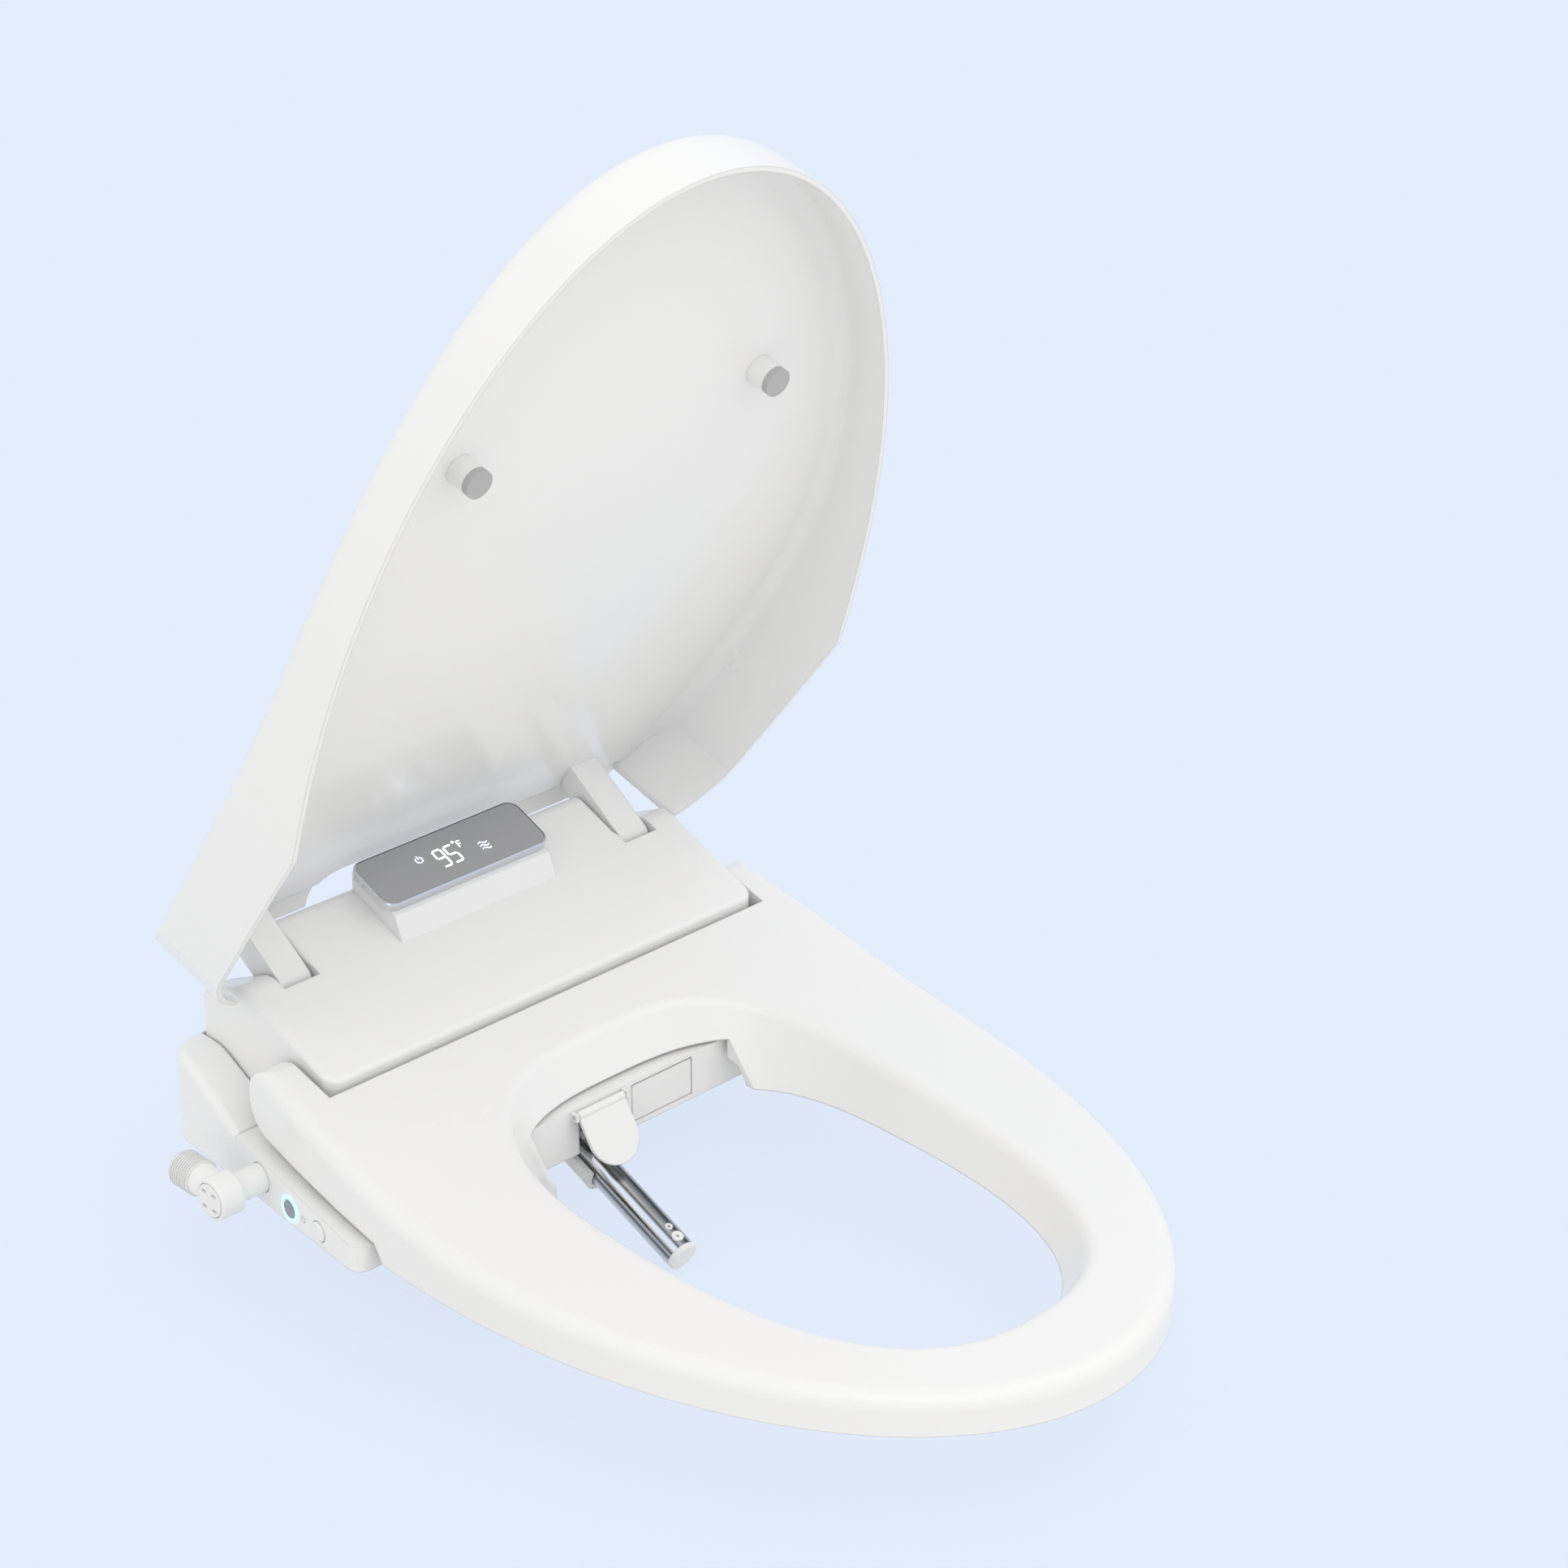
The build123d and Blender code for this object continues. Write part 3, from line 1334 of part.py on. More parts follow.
pinion_up = rack_pitch_up + pitch_r
pinion_spot = wand_side(0).from_local_coords((pinion_at, pinion_up, 0))
with BuildPart() as nozzle_pinion:
    pinion_face = (wand_x - pinion_half, pinion_spot.Y, pinion_spot.Z)
    with BuildSketch(Plane(origin=pinion_face, x_dir=wand_up, z_dir=(1, 0, 0))):
        Circle(gear_root_r)
        with PolarLocations((gear_root_r + gear_tip_r - 1) / 2, tooth_count):
            Rectangle(gear_tip_r - gear_root_r + 1, tooth_thick)
    extrude(amount=2 * pinion_half)
    shaft_length = wand_x - pinion_half - motor_x1 + motor_bore
    rod(across(motor_x1 - motor_bore, pinion_spot.Y, pinion_spot.Z), motor_shaft_r, shaft_length + 1)
nozzle_pinion.part.label = "nozzle_pinion"
export_step(nozzle_pinion.part, "parts/nozzle_pinion.step")

with BuildPart() as nozzle_motor:
    rod(across(motor_x0, pinion_spot.Y, pinion_spot.Z), motor_r, motor_x1 - motor_x0)
    bore_plane = across(motor_x1 - motor_bore - 1, pinion_spot.Y, pinion_spot.Z)
    rod(bore_plane, motor_shaft_r + running, motor_bore + 2, Mode.SUBTRACT)
nozzle_motor.part.label = "nozzle_motor"
export_step(nozzle_motor.part, "parts/nozzle_motor.step")

with BuildPart() as nozzle_cradle:
    with BuildSketch(wand_plane(cradle_start)):
        Circle(cradle_half)
        with Locations((0, cradle_half / 2 - 1)):
            Rectangle(2 * cradle_half, cradle_half + 2)
        with Locations((0, 2 * cradle_half + cradle_top)):
            Rectangle(4 * cradle_half, 4 * cradle_half, mode=Mode.SUBTRACT)
        Circle(wand_r + slip, mode=Mode.SUBTRACT)
        with Locations((0, cradle_half)):
            Rectangle(2 * (wand_r + slip), 2 * cradle_half, mode=Mode.SUBTRACT)
    extrude(amount=cradle_end - cradle_start)
nozzle_cradle.part.label = "nozzle_cradle"
export_step(nozzle_cradle.part, "parts/nozzle_cradle.step")

# Gate over the wand and door of the dryer
gate_normal = (0, -cos(radians(gate_tilt)), sin(radians(gate_tilt)))
with BuildPart() as nozzle_gate:
    half_thick = gate_thick / 2
    gate_middle = (wand_x, gate_y - half_thick * gate_normal[1], gate_z - half_thick * gate_normal[2])
    with BuildSketch(Plane(origin=gate_middle, x_dir=(1, 0, 0), z_dir=gate_normal)):
        with Locations((0, -(gate_length - gate_half) / 2)):
            Rectangle(2 * gate_half, gate_length - gate_half)
        with Locations((0, gate_half - gate_length)):
            Circle(gate_half)
    extrude(amount=gate_thick)
    rod(across(wand_x - gate_half, gate_y, gate_z), gate_barrel_r, 2 * gate_half)
    rod(across(wand_x - gate_half, gate_y, gate_z), gate_pin_r + running, 2 * gate_half, Mode.SUBTRACT)
nozzle_gate.part.label = "nozzle_gate"
export_step(nozzle_gate.part, "parts/nozzle_gate.step")

with BuildPart() as gate_pin:
    rod(across(gate_pin_start, gate_y, gate_z), gate_pin_r, gate_pin_length)
gate_pin.part.label = "gate_pin"
export_step(gate_pin.part, "parts/gate_pin.step")

with BuildPart() as dryer_door:
    block(door_x0, door_x1, door_pin_y - door_thick / 2, door_pin_y + door_thick / 2, door_z0, door_z1)
    rod(across(door_x0, door_pin_y, door_pin_z), door_pin_r + running, door_x1 - door_x0, Mode.SUBTRACT)
dryer_door.part.label = "dryer_door"
export_step(dryer_door.part, "parts/dryer_door.step")

with BuildPart() as door_pin:
    rod(across(door_pin_start, door_pin_y, door_pin_z), door_pin_r, door_pin_length)
door_pin.part.label = "door_pin"
export_step(door_pin.part, "parts/door_pin.step")

# Dryer: fan housing with outlet duct, motor, fan and heater
with BuildPart() as dryer_blower:
    rod(upward(fan_x, fan_y, blower_z0), blower_r, blower_z1 - blower_z0)
    block(duct_x0, duct_x1, duct_front_y, fan_y, blower_z0, duct_z1)
    inner_z0 = blower_z0 + thin
    rod(upward(fan_x, fan_y, inner_z0), blower_r - thin, blower_z1 - thin - inner_z0, Mode.SUBTRACT)
    x0 = duct_x0 + thin
    x1 = duct_x1 - thin
    block(x0, x1, duct_front_y - 1, fan_y, inner_z0, duct_z1 - thin, Mode.SUBTRACT)
    rod(upward(fan_x, fan_y, blower_z1 - 2 * thin), fan_shaft_r + shaft_room, 4 * thin, Mode.SUBTRACT)
    x0 = fan_x - intake_half
    x1 = fan_x + intake_half
    y0 = fan_y + blower_r - 2 * thin
    block(x0, x1, y0, fan_y + blower_r + 1, intake_z0, intake_z1, Mode.SUBTRACT)
dryer_blower.part.label = "dryer_blower"
export_step(dryer_blower.part, "parts/dryer_blower.step")

with BuildPart() as dryer_fan:
    rod(upward(fan_x, fan_y, fan_z0), fan_r, fan_plate)
    rod(upward(fan_x, fan_y, fan_z0), fan_hub_r, fan_z1 - fan_z0)
    rod(upward(fan_x, fan_y, fan_z0), fan_shaft_r, fan_shaft_top - fan_z0)
    with BuildSketch(Plane.XY.offset(fan_z0)):
        with Locations((fan_x, fan_y)):
            with PolarLocations((fan_r + fan_hub_r) / 2, fan_blades):
                Rectangle(fan_r - fan_hub_r + 1, fan_blade_thick)
    extrude(amount=fan_z1 - fan_z0)
dryer_fan.part.label = "dryer_fan"
export_step(dryer_fan.part, "parts/dryer_fan.step")

with BuildPart() as dryer_motor:
    rod(upward(fan_x, fan_y, blower_z1), dryer_motor_r, dryer_motor_high)
    shaft_plane = upward(fan_x, fan_y, blower_z1 - 1)
    rod(shaft_plane, fan_shaft_r + running, fan_shaft_top - blower_z1 + 2, Mode.SUBTRACT)
dryer_motor.part.label = "dryer_motor"
export_step(dryer_motor.part, "parts/dryer_motor.step")

with BuildPart() as dryer_heater:
    heater_x0 = duct_x0 + thin + slip
    heater_x1 = duct_x1 - thin - slip
    heater_z0 = blower_z0 + thin + slip
    heater_z1 = duct_z1 - thin - slip
    block(heater_x0, heater_x1, dryer_heat_y, dryer_heat_y + dryer_heat_thick, heater_z0, heater_z1)
    cell = (heater_x1 - heater_x0) / dryer_heat_cells
    for step in range(dryer_heat_cells):
        x0 = heater_x0 + step * cell + heater_rib / 2
        x1 = x0 + cell - heater_rib
        y1 = dryer_heat_y + dryer_heat_thick + 1
        z0 = heater_z0 + heater_rib
        z1 = heater_z1 - heater_rib
        block(x0, x1, dryer_heat_y - 1, y1, z0, z1, Mode.SUBTRACT)
dryer_heater.part.label = "dryer_heater"
export_step(dryer_heater.part, "parts/dryer_heater.step")

# Water side: heater tank, valves, hoses, inlet with filter
with BuildPart() as water_heater:
    block(tank_x0, tank_x1, tank_y0, tank_y1, tank_z0, tank_z1)
    fillet(edges().filter_by(Axis.Z), radius=tank_round)
    for x, y in ((tank_in_x, inlet_y), (tank_out_x, diverter_y)):
        rod(upward(x, y, tank_z1), hose_r, port_high)
water_heater.part.label = "water_heater"
export_step(water_heater.part, "parts/water_heater.step")

with BuildPart() as inlet_valve:
    valve_z0 = tray_floor_z + part_gap
    block(valve_x0, valve_x1, inlet_y - valve_half, inlet_y + valve_half, valve_z0, valve_z1)
    rod(upward(valve_out_x, inlet_y, valve_z1), hose_r, port_high)
inlet_valve.part.label = "inlet_valve"
export_step(inlet_valve.part, "parts/inlet_valve.step")

with BuildPart() as diverter_valve:
    x0 = diverter_x - diverter_half
    x1 = diverter_x + diverter_half
    y0 = diverter_y - diverter_half
    y1 = diverter_y + diverter_half
    block(x0, x1, y0, y1, tray_floor_z + part_gap, diverter_z1)
    rod(upward(diverter_x, diverter_y, diverter_z1), hose_r, port_high)
diverter_valve.part.label = "diverter_valve"
export_step(diverter_valve.part, "parts/diverter_valve.step")

with BuildPart() as inlet_hose:
    with BuildLine():
        FilletPolyline(
            (valve_out_x, inlet_y, valve_z1 + port_high),
            (valve_out_x, inlet_y, hose_top_z),
            (tank_in_x, inlet_y, hose_top_z),
            (tank_in_x, inlet_y, tank_z1 + port_high),
            radius=hose_bend,
        )
    with BuildSketch(upward(valve_out_x, inlet_y, valve_z1 + port_high)):
        Circle(hose_r)
    sweep()
inlet_hose.part.label = "inlet_hose"
export_step(inlet_hose.part, "parts/inlet_hose.step")

with BuildPart() as outlet_hose:
    with BuildLine():
        FilletPolyline(
            (diverter_x, diverter_y, diverter_z1 + port_high),
            (diverter_x, diverter_y, hose_top_z),
            (tank_out_x, diverter_y, hose_top_z),
            (tank_out_x, diverter_y, tank_z1 + port_high),
            radius=hose_bend,
        )
    with BuildSketch(upward(diverter_x, diverter_y, diverter_z1 + port_high)):
        Circle(hose_r)
    sweep()
outlet_hose.part.label = "outlet_hose"
export_step(outlet_hose.part, "parts/outlet_hose.step")

with BuildPart() as inlet_tee:
    rod(across(tee_out_x, inlet_y, inlet_z), tee_r, tee_length)
    fillet(edges().filter_by(GeomType.CIRCLE), radius=tee_round)
    tube_plane = across(tee_out_x + tee_length / 2, inlet_y, inlet_z)
    rod(tube_plane, inlet_tube_r, valve_x0 - part_gap - tee_out_x - tee_length / 2)
    rod(rearward(branch_x, inlet_y, inlet_z), thread_root_r, thread_reach)
    for step in range(thread_ridges):
        ridge_y = inlet_y + thread_reach - 1 - (step + 1) * thread_pitch
        rod(rearward(branch_x, ridge_y, inlet_z), thread_r, thread_pitch / 2)
    rod(rearward(branch_x, inlet_y, inlet_z), branch_bore_r, thread_reach + 1, Mode.SUBTRACT)
    rod(across(plug_in_x - 1, inlet_y, inlet_z), inlet_bore_r, valve_x0 - plug_in_x + 1, Mode.SUBTRACT)
    rod(across(tee_out_x - 1, inlet_y, inlet_z), plug_r + slip, plug_in_x - tee_out_x + 1, Mode.SUBTRACT)
inlet_tee.part.label = "inlet_tee"
export_step(inlet_tee.part, "parts/inlet_tee.step")

# Filter plug with four small windows beside the bar that turns it
with BuildPart() as filter_plug:
    rod(across(plug_out_x, inlet_y, inlet_z), plug_r, plug_in_x - plug_out_x)
    fillet(filter_plug.edges().sort_by(Axis.X)[0], radius=plug_round)
    rod(across(plug_in_x, inlet_y, inlet_z), inlet_bore_r - slip, plug_stem)
    for y in (inlet_y - plug_window_at_y, inlet_y + plug_window_at_y):
        for z in (inlet_z - plug_window_at_z, inlet_z + plug_window_at_z):
            y0 = y - plug_window_y / 2
            z0 = z - plug_window_z / 2
            x1 = plug_out_x + plug_window_deep
            block(plug_out_x - 1, x1, y0, y0 + plug_window_y, z0, z0 + plug_window_z, Mode.SUBTRACT)
filter_plug.part.label = "filter_plug"
export_step(filter_plug.part, "parts/filter_plug.step")

with BuildPart() as filter_screen:
    rod(across(plug_in_x + plug_stem, inlet_y, inlet_z), screen_r, screen_length)
    screen_plane = across(plug_in_x + plug_stem - 1, inlet_y, inlet_z)
    rod(screen_plane, screen_r - screen_wall, screen_length + 2, Mode.SUBTRACT)
filter_screen.part.label = "filter_screen"
export_step(filter_screen.part, "parts/filter_screen.step")

# Electrics: main board, supply, cable gland, side controls
with BuildPart() as control_board:
    block(board_x0, board_x1, board_y0, board_y1, board_z, board_z + board_thick)
    for x in (board_x0 + board_leg_in, board_x1 - board_leg_in):
        for y in (board_y0 + board_leg_in, board_y1 - board_leg_in):
            rod(upward(x, y, tray_floor_z), board_leg_r, board_z - tray_floor_z)
    for share, y, size, high in board_chips:
        x = board_x0 + share * (board_x1 - board_x0)
        block(x - size, x + size, y - size, y + size, board_z + board_thick, board_z + board_thick + high)
control_board.part.label = "control_board"
export_step(control_board.part, "parts/control_board.step")

with BuildPart() as power_supply:
    block(supply_x0, supply_x1, supply_y0, supply_y1, tray_floor_z + part_gap, supply_z1)
    fillet(edges().filter_by(Axis.Z), radius=supply_round)
power_supply.part.label = "power_supply"
export_step(power_supply.part, "parts/power_supply.step")

with BuildPart() as power_gland:
    rod(rearward(gland_x, tray_rear_y - gland_inside, gland_z), gland_r, gland_inside + gland_outside)
    rod(rearward(gland_x, tray_rear_y, gland_z), gland_flange_r, gland_flange)
    rod(rearward(gland_x, tray_rear_y - gland_inside - 1, gland_z), cable_r, 40, Mode.SUBTRACT)
power_gland.part.label = "power_gland"
export_step(power_gland.part, "parts/power_gland.step")

with BuildPart() as power_button:
    rod(flank_plane(power_y, control_z, button_inner), power_r, power_stand - button_inner)
    fillet(power_button.edges().sort_by(Axis.X)[0], radius=button_round)
power_button.part.label = "power_button"
export_step(power_button.part, "parts/power_button.step")

with BuildPart() as power_ring:
    rod(flank_plane(power_y, control_z, -wall), power_ring_r, wall + ring_light_stand)
    rod(flank_plane(power_y, control_z, -wall - 1), power_r + slip, wall + 5, Mode.SUBTRACT)
power_ring.part.label = "power_ring"
export_step(power_ring.part, "parts/power_ring.step")

with BuildPart() as wash_button:
    rod(flank_plane(wash_y, control_z, button_inner), wash_r, wash_stand - button_inner)
    fillet(wash_button.edges().sort_by(Axis.X)[0], radius=button_round)
wash_button.part.label = "wash_button"
export_step(wash_button.part, "parts/wash_button.step")

with BuildPart() as arm_board:
    board_mid_y = (power_y + wash_y) / 2
    with BuildSketch(flank_plane(board_mid_y, control_z, arm_board_out)):
        Rectangle(arm_board_length, arm_board_high)
    extrude(amount=board_thick)
    for y in (power_y, wash_y):
        rod(flank_plane(y, control_z, arm_board_out), switch_r, switch_high)
        foot = flank_plane(y, arm_floor_z, arm_board_out + board_thick / 2).origin
        rod(upward(foot.X, foot.Y, arm_floor_z), board_thick / 2, control_z - arm_floor_z)
arm_board.part.label = "arm_board"
export_step(arm_board.part, "parts/arm_board.step")
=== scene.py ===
"""Looks of the electric bidet seat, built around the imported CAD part. Metres, +Z up, front at -Y."""

import json
import math

import bmesh
import bpy
from mathutils import Matrix, Vector


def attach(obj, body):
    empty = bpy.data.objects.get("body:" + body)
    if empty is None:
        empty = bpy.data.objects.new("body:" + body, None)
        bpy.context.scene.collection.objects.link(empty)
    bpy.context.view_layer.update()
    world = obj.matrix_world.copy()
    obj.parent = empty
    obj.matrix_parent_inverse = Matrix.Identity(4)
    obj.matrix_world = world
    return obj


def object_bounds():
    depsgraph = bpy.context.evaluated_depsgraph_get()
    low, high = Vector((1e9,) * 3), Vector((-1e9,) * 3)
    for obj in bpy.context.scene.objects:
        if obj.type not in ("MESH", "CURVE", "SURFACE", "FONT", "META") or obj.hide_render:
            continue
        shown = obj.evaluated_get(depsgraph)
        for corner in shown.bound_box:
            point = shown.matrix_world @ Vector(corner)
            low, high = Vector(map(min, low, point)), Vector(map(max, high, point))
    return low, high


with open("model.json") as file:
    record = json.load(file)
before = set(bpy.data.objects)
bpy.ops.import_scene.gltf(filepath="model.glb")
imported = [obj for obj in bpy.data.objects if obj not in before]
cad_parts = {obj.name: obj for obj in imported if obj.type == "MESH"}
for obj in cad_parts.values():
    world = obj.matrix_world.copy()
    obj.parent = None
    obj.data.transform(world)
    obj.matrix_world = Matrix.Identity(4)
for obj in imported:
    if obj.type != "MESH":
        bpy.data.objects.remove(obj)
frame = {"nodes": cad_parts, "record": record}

scene = bpy.context.scene
nodes = frame["nodes"]
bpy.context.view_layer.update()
mm = 0.001

# Directions shared with the part: slope of the cover and slope of the wand
cover_slope = math.radians(21.8)
wand_slope = math.radians(22.5)
to_right = Vector((1, 0, 0))
upward = Vector((0, 0, 1))
cover_up = Vector((0, math.cos(cover_slope), math.sin(cover_slope)))
cover_normal = Vector((0, -math.sin(cover_slope), math.cos(cover_slope)))
wand_up = Vector((0, -math.sin(wand_slope), math.cos(wand_slope)))

# Shared settings of the materials
coat_rough = 0.08
least_rough = 0.02
noise_detail = 3.0
relief_depth = 0.2 * mm
edge_round = 1.2 * mm
edge_samples = 6


# Materials: every one is a small node tree with a little unevenness in its roughness
def finish_material(
    name, colour, rough, metallic=0.0, coat=0.0, spread=0.05, grain=60.0, bump=0.0, soft=0.0
):
    """Plain finish; soft is the radius of a rounding that only the shading shows."""
    material = bpy.data.materials.new(name)
    material.use_nodes = True
    tree = material.node_tree
    shader = tree.nodes["Principled BSDF"]
    shader.inputs["Base Color"].default_value = (*colour, 1)
    shader.inputs["Metallic"].default_value = metallic
    shader.inputs["Coat Weight"].default_value = coat
    shader.inputs["Coat Roughness"].default_value = coat_rough
    place = tree.nodes.new("ShaderNodeTexCoord")
    noise = tree.nodes.new("ShaderNodeTexNoise")
    noise.inputs["Scale"].default_value = grain
    noise.inputs["Detail"].default_value = noise_detail
    tree.links.new(place.outputs["Object"], noise.inputs["Vector"])
    ramp = tree.nodes.new("ShaderNodeMapRange")
    ramp.inputs["To Min"].default_value = max(rough - spread, least_rough)
    ramp.inputs["To Max"].default_value = rough + spread
    tree.links.new(noise.outputs["Fac"], ramp.inputs["Value"])
    tree.links.new(ramp.outputs["Result"], shader.inputs["Roughness"])
    normal = None
    if soft:
        rounding = tree.nodes.new("ShaderNodeBevel")
        rounding.samples = edge_samples
        rounding.inputs["Radius"].default_value = soft
        normal = rounding.outputs["Normal"]
    if bump:
        relief = tree.nodes.new("ShaderNodeBump")
        relief.inputs["Strength"].default_value = bump
        relief.inputs["Distance"].default_value = relief_depth
        tree.links.new(noise.outputs["Fac"], relief.inputs["Height"])
        if normal:
            tree.links.new(normal, relief.inputs["Normal"])
        normal = relief.outputs["Normal"]
    if normal:
        tree.links.new(normal, shader.inputs["Normal"])
    return material


def glow_material(name, colour, strength):
    """Finish that also gives off light of its own colour."""
    material = finish_material(name, colour, 0.4)
    shader = material.node_tree.nodes["Principled BSDF"]
    shader.inputs["Emission Color"].default_value = (*colour, 1)
    shader.inputs["Emission Strength"].default_value = strength
    return material


def chrome_painted_reflections(name, axis_point, painted_streaks):
    """Chrome tube with painted reflections: dark and bright grey streaks along it, set in the base colour
    by the angle round its axis in degrees.
    """
    material = finish_material(name, (0.8, 0.8, 0.8), 0.12, metallic=1.0, spread=0.02)
    tree = material.node_tree
    place = tree.nodes.new("ShaderNodeTexCoord")
    offset = tree.nodes.new("ShaderNodeVectorMath")
    offset.operation = "SUBTRACT"
    offset.inputs[1].default_value = axis_point
    tree.links.new(place.outputs["Object"], offset.inputs[0])
    angle = tree.nodes.new("ShaderNodeMath")
    angle.operation = "ARCTAN2"
    for direction, socket in zip((wand_up, to_right), angle.inputs):
        part = tree.nodes.new("ShaderNodeVectorMath")
        part.operation = "DOT_PRODUCT"
        part.inputs[1].default_value = direction
        tree.links.new(offset.outputs["Vector"], part.inputs[0])
        tree.links.new(part.outputs["Value"], socket)
    share = tree.nodes.new("ShaderNodeMapRange")
    share.inputs["From Min"].default_value = -math.pi
    share.inputs["From Max"].default_value = math.pi
    tree.links.new(angle.outputs["Value"], share.inputs["Value"])
    # Painted reflections: the ramp sets grey streaks and a bright highlight in the base colour
    ramp = tree.nodes.new("ShaderNodeValToRGB")
    stops = ramp.color_ramp.elements
    for degrees, _ in painted_streaks[1:-1]:
        stops.new((degrees + 180) / 360)
    for stop, (degrees, grey) in zip(stops, painted_streaks):
        stop.position = (degrees + 180) / 360
        stop.color = (grey, grey, grey, 1)
    tree.links.new(share.outputs["Result"], ramp.inputs["Fac"])
    tree.links.new(ramp.outputs["Color"], tree.nodes["Principled BSDF"].inputs["Base Color"])
    return material


# A point on the wand's axis, and its painted reflection streaks (dark bands and a bright highlight) as
# pairs of angle and grey
wand_tip = Vector((-0.020, -0.118, -0.012))
painted_chrome_reflections = (
    (-180, 0.50), (-165, 0.62), (-137, 0.36), (-110, 0.62), (-80, 0.18), (-50, 0.60), (-20, 0.16),
    (20, 0.55), (43, 0.22), (58, 0.50), (76, 0.03), (92, 0.28), (106, 0.62), (115, 0.12), (124, 0.92),
    (143, 0.95), (149, 0.10), (158, 0.50), (168, 0.10), (180, 0.50),
)

# One look for each material slot of the part
looks = {
    "white_shell": finish_material(
        "white_shell", (0.87, 0.87, 0.868), 0.26, coat=0.2, spread=0.03, grain=30, soft=edge_round),
    "white_trim": finish_material(
        "white_trim", (0.86, 0.86, 0.858), 0.34, coat=0.1, soft=edge_round),
    "white_inner": finish_material("white_inner", (0.74, 0.75, 0.76), 0.5),
    "display_frame": finish_material(
        "display_frame", (0.70, 0.70, 0.71), 0.16, metallic=1.0, spread=0.03),
    "display_face": finish_material(
        "display_face", (0.40, 0.40, 0.41), 0.38, metallic=0.35, grain=400, spread=0.04),
    # The wand's chrome has its reflections painted into the base colour
    "wand_chrome": chrome_painted_reflections("wand_chrome", wand_tip, painted_chrome_reflections),
    "pad_rubber": finish_material("pad_rubber", (0.46, 0.46, 0.465), 0.62, grain=300, bump=0.2),
    "steel": finish_material("steel", (0.56, 0.57, 0.58), 0.3, metallic=1.0, grain=120),
    "board": finish_material("board", (0.03, 0.16, 0.06), 0.45),
    "motor_case": finish_material("motor_case", (0.10, 0.10, 0.11), 0.4),
    "heater_foil": finish_material("heater_foil", (0.62, 0.60, 0.55), 0.3, metallic=1.0),
    "tank": finish_material("tank", (0.50, 0.52, 0.54), 0.5),
    "hose": finish_material("hose", (0.60, 0.61, 0.62), 0.45),
    "fan_plastic": finish_material("fan_plastic", (0.04, 0.04, 0.045), 0.45),
    "light_ring": glow_material("light_ring", (0.30, 0.93, 0.95), 1.6),
    "button_grey": finish_material("button_grey", (0.30, 0.31, 0.32), 0.4),
}
for subpart in frame["record"]["subparts"]:
    node = nodes[subpart["node"]]
    node.data.materials.clear()
    node.data.materials.append(looks[subpart["material_slot"]])


def strokes(name, lines, width, origin, right, up, out, material, body, thick=0.15):
    """Flat strokes of even width along the given lines, in millimetres on the plane, as one thin mesh."""
    shape = bmesh.new()
    for points, closed in lines:
        points = [Vector(p) for p in points]
        count = len(points)
        left_side = []
        right_side = []
        for i, p in enumerate(points):
            before = points[i - 1] if (i or closed) else p
            after = points[(i + 1) % count] if (i < count - 1 or closed) else p
            run = (after - before).normalized()
            side = Vector((-run.y, run.x)) * width / 2
            for store, sign in ((left_side, 1), (right_side, -1)):
                q = p + side * sign
                store.append(shape.verts.new(origin + (right * q.x + up * q.y) * mm))
        for i in range(count if closed else count - 1):
            j = (i + 1) % count
            shape.faces.new((left_side[i], right_side[i], right_side[j], left_side[j]))
    bmesh.ops.recalc_face_normals(shape, faces=shape.faces)
    grown = bmesh.ops.extrude_face_region(shape, geom=shape.faces[:])
    moved = [v for v in grown["geom"] if isinstance(v, bmesh.types.BMVert)]
    bmesh.ops.translate(shape, verts=moved, vec=out * thick * mm)
    bmesh.ops.recalc_face_normals(shape, faces=shape.faces)
    mesh = bpy.data.meshes.new(name)
    shape.to_mesh(mesh)
    shape.free()
    piece = bpy.data.objects.new(name, mesh)
    scene.collection.objects.link(piece)
    mesh.materials.append(material)
    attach(piece, body)


def arc(cx, cy, r, a0, a1, steps):
    """Points along an arc, angles in degrees."""
    points = []
    for i in range(steps + 1):
        turn = math.radians(a0 + (a1 - a0) * i / steps)
        points.append((cx + r * math.cos(turn), cy + r * math.sin(turn)))
    return points


def digit(cx, cy, segments, half=2.8, high=6.4, gap=0.5):
    """Seven-segment figure centred at a point; segments named a to g."""
    ends = {
        "a": ((-half + gap, high), (half - gap, high)),
        "b": ((half, high - gap), (half, gap)),
        "c": ((half, -gap), (half, -high + gap)),
        "d": ((-half + gap, -high), (half - gap, -high)),
        "e": ((-half, -gap), (-half, -high + gap)),
        "f": ((-half, high - gap), (-half, gap)),
        "g": ((-half + gap, 0), (half - gap, 0)),
    }
    return [([(cx + x, cy + y) for x, y in ends[s]], False) for s in segments]


def power_sign(cx, cy, r, bar_top, bar_foot=0.3):
    """Circle open at the top with an upright bar in the opening."""
    ring = arc(cx, cy, r, 125, 415, 30)
    bar = [(cx, cy + bar_foot), (cx, cy + bar_top)]
    return [(ring, False), (bar, False)]


# Display marks: lit strokes on the face, placed in millimetres across it and up its slope
face_up = 15.85
face_origin = Vector((0, -59.5, 69.5)) * mm + cover_normal * face_up * mm
mark_glow = glow_material("mark_glow", (0.80, 0.84, 1.0), 1.5)
figure_width = 1.1
unit_width = 0.55
sign_width = 0.5


def display_mark(name, lines, width):
    """Strokes on the plane of the display's face."""
    strokes(name, lines, width, face_origin, to_right, cover_up, cover_normal, mark_glow, "base")


figure_v = 95.6
nine = digit(-7.5, figure_v, "abcdfg")
five = digit(0.5, figure_v, "acdfg")
display_mark("display_figures", nine + five, figure_width)

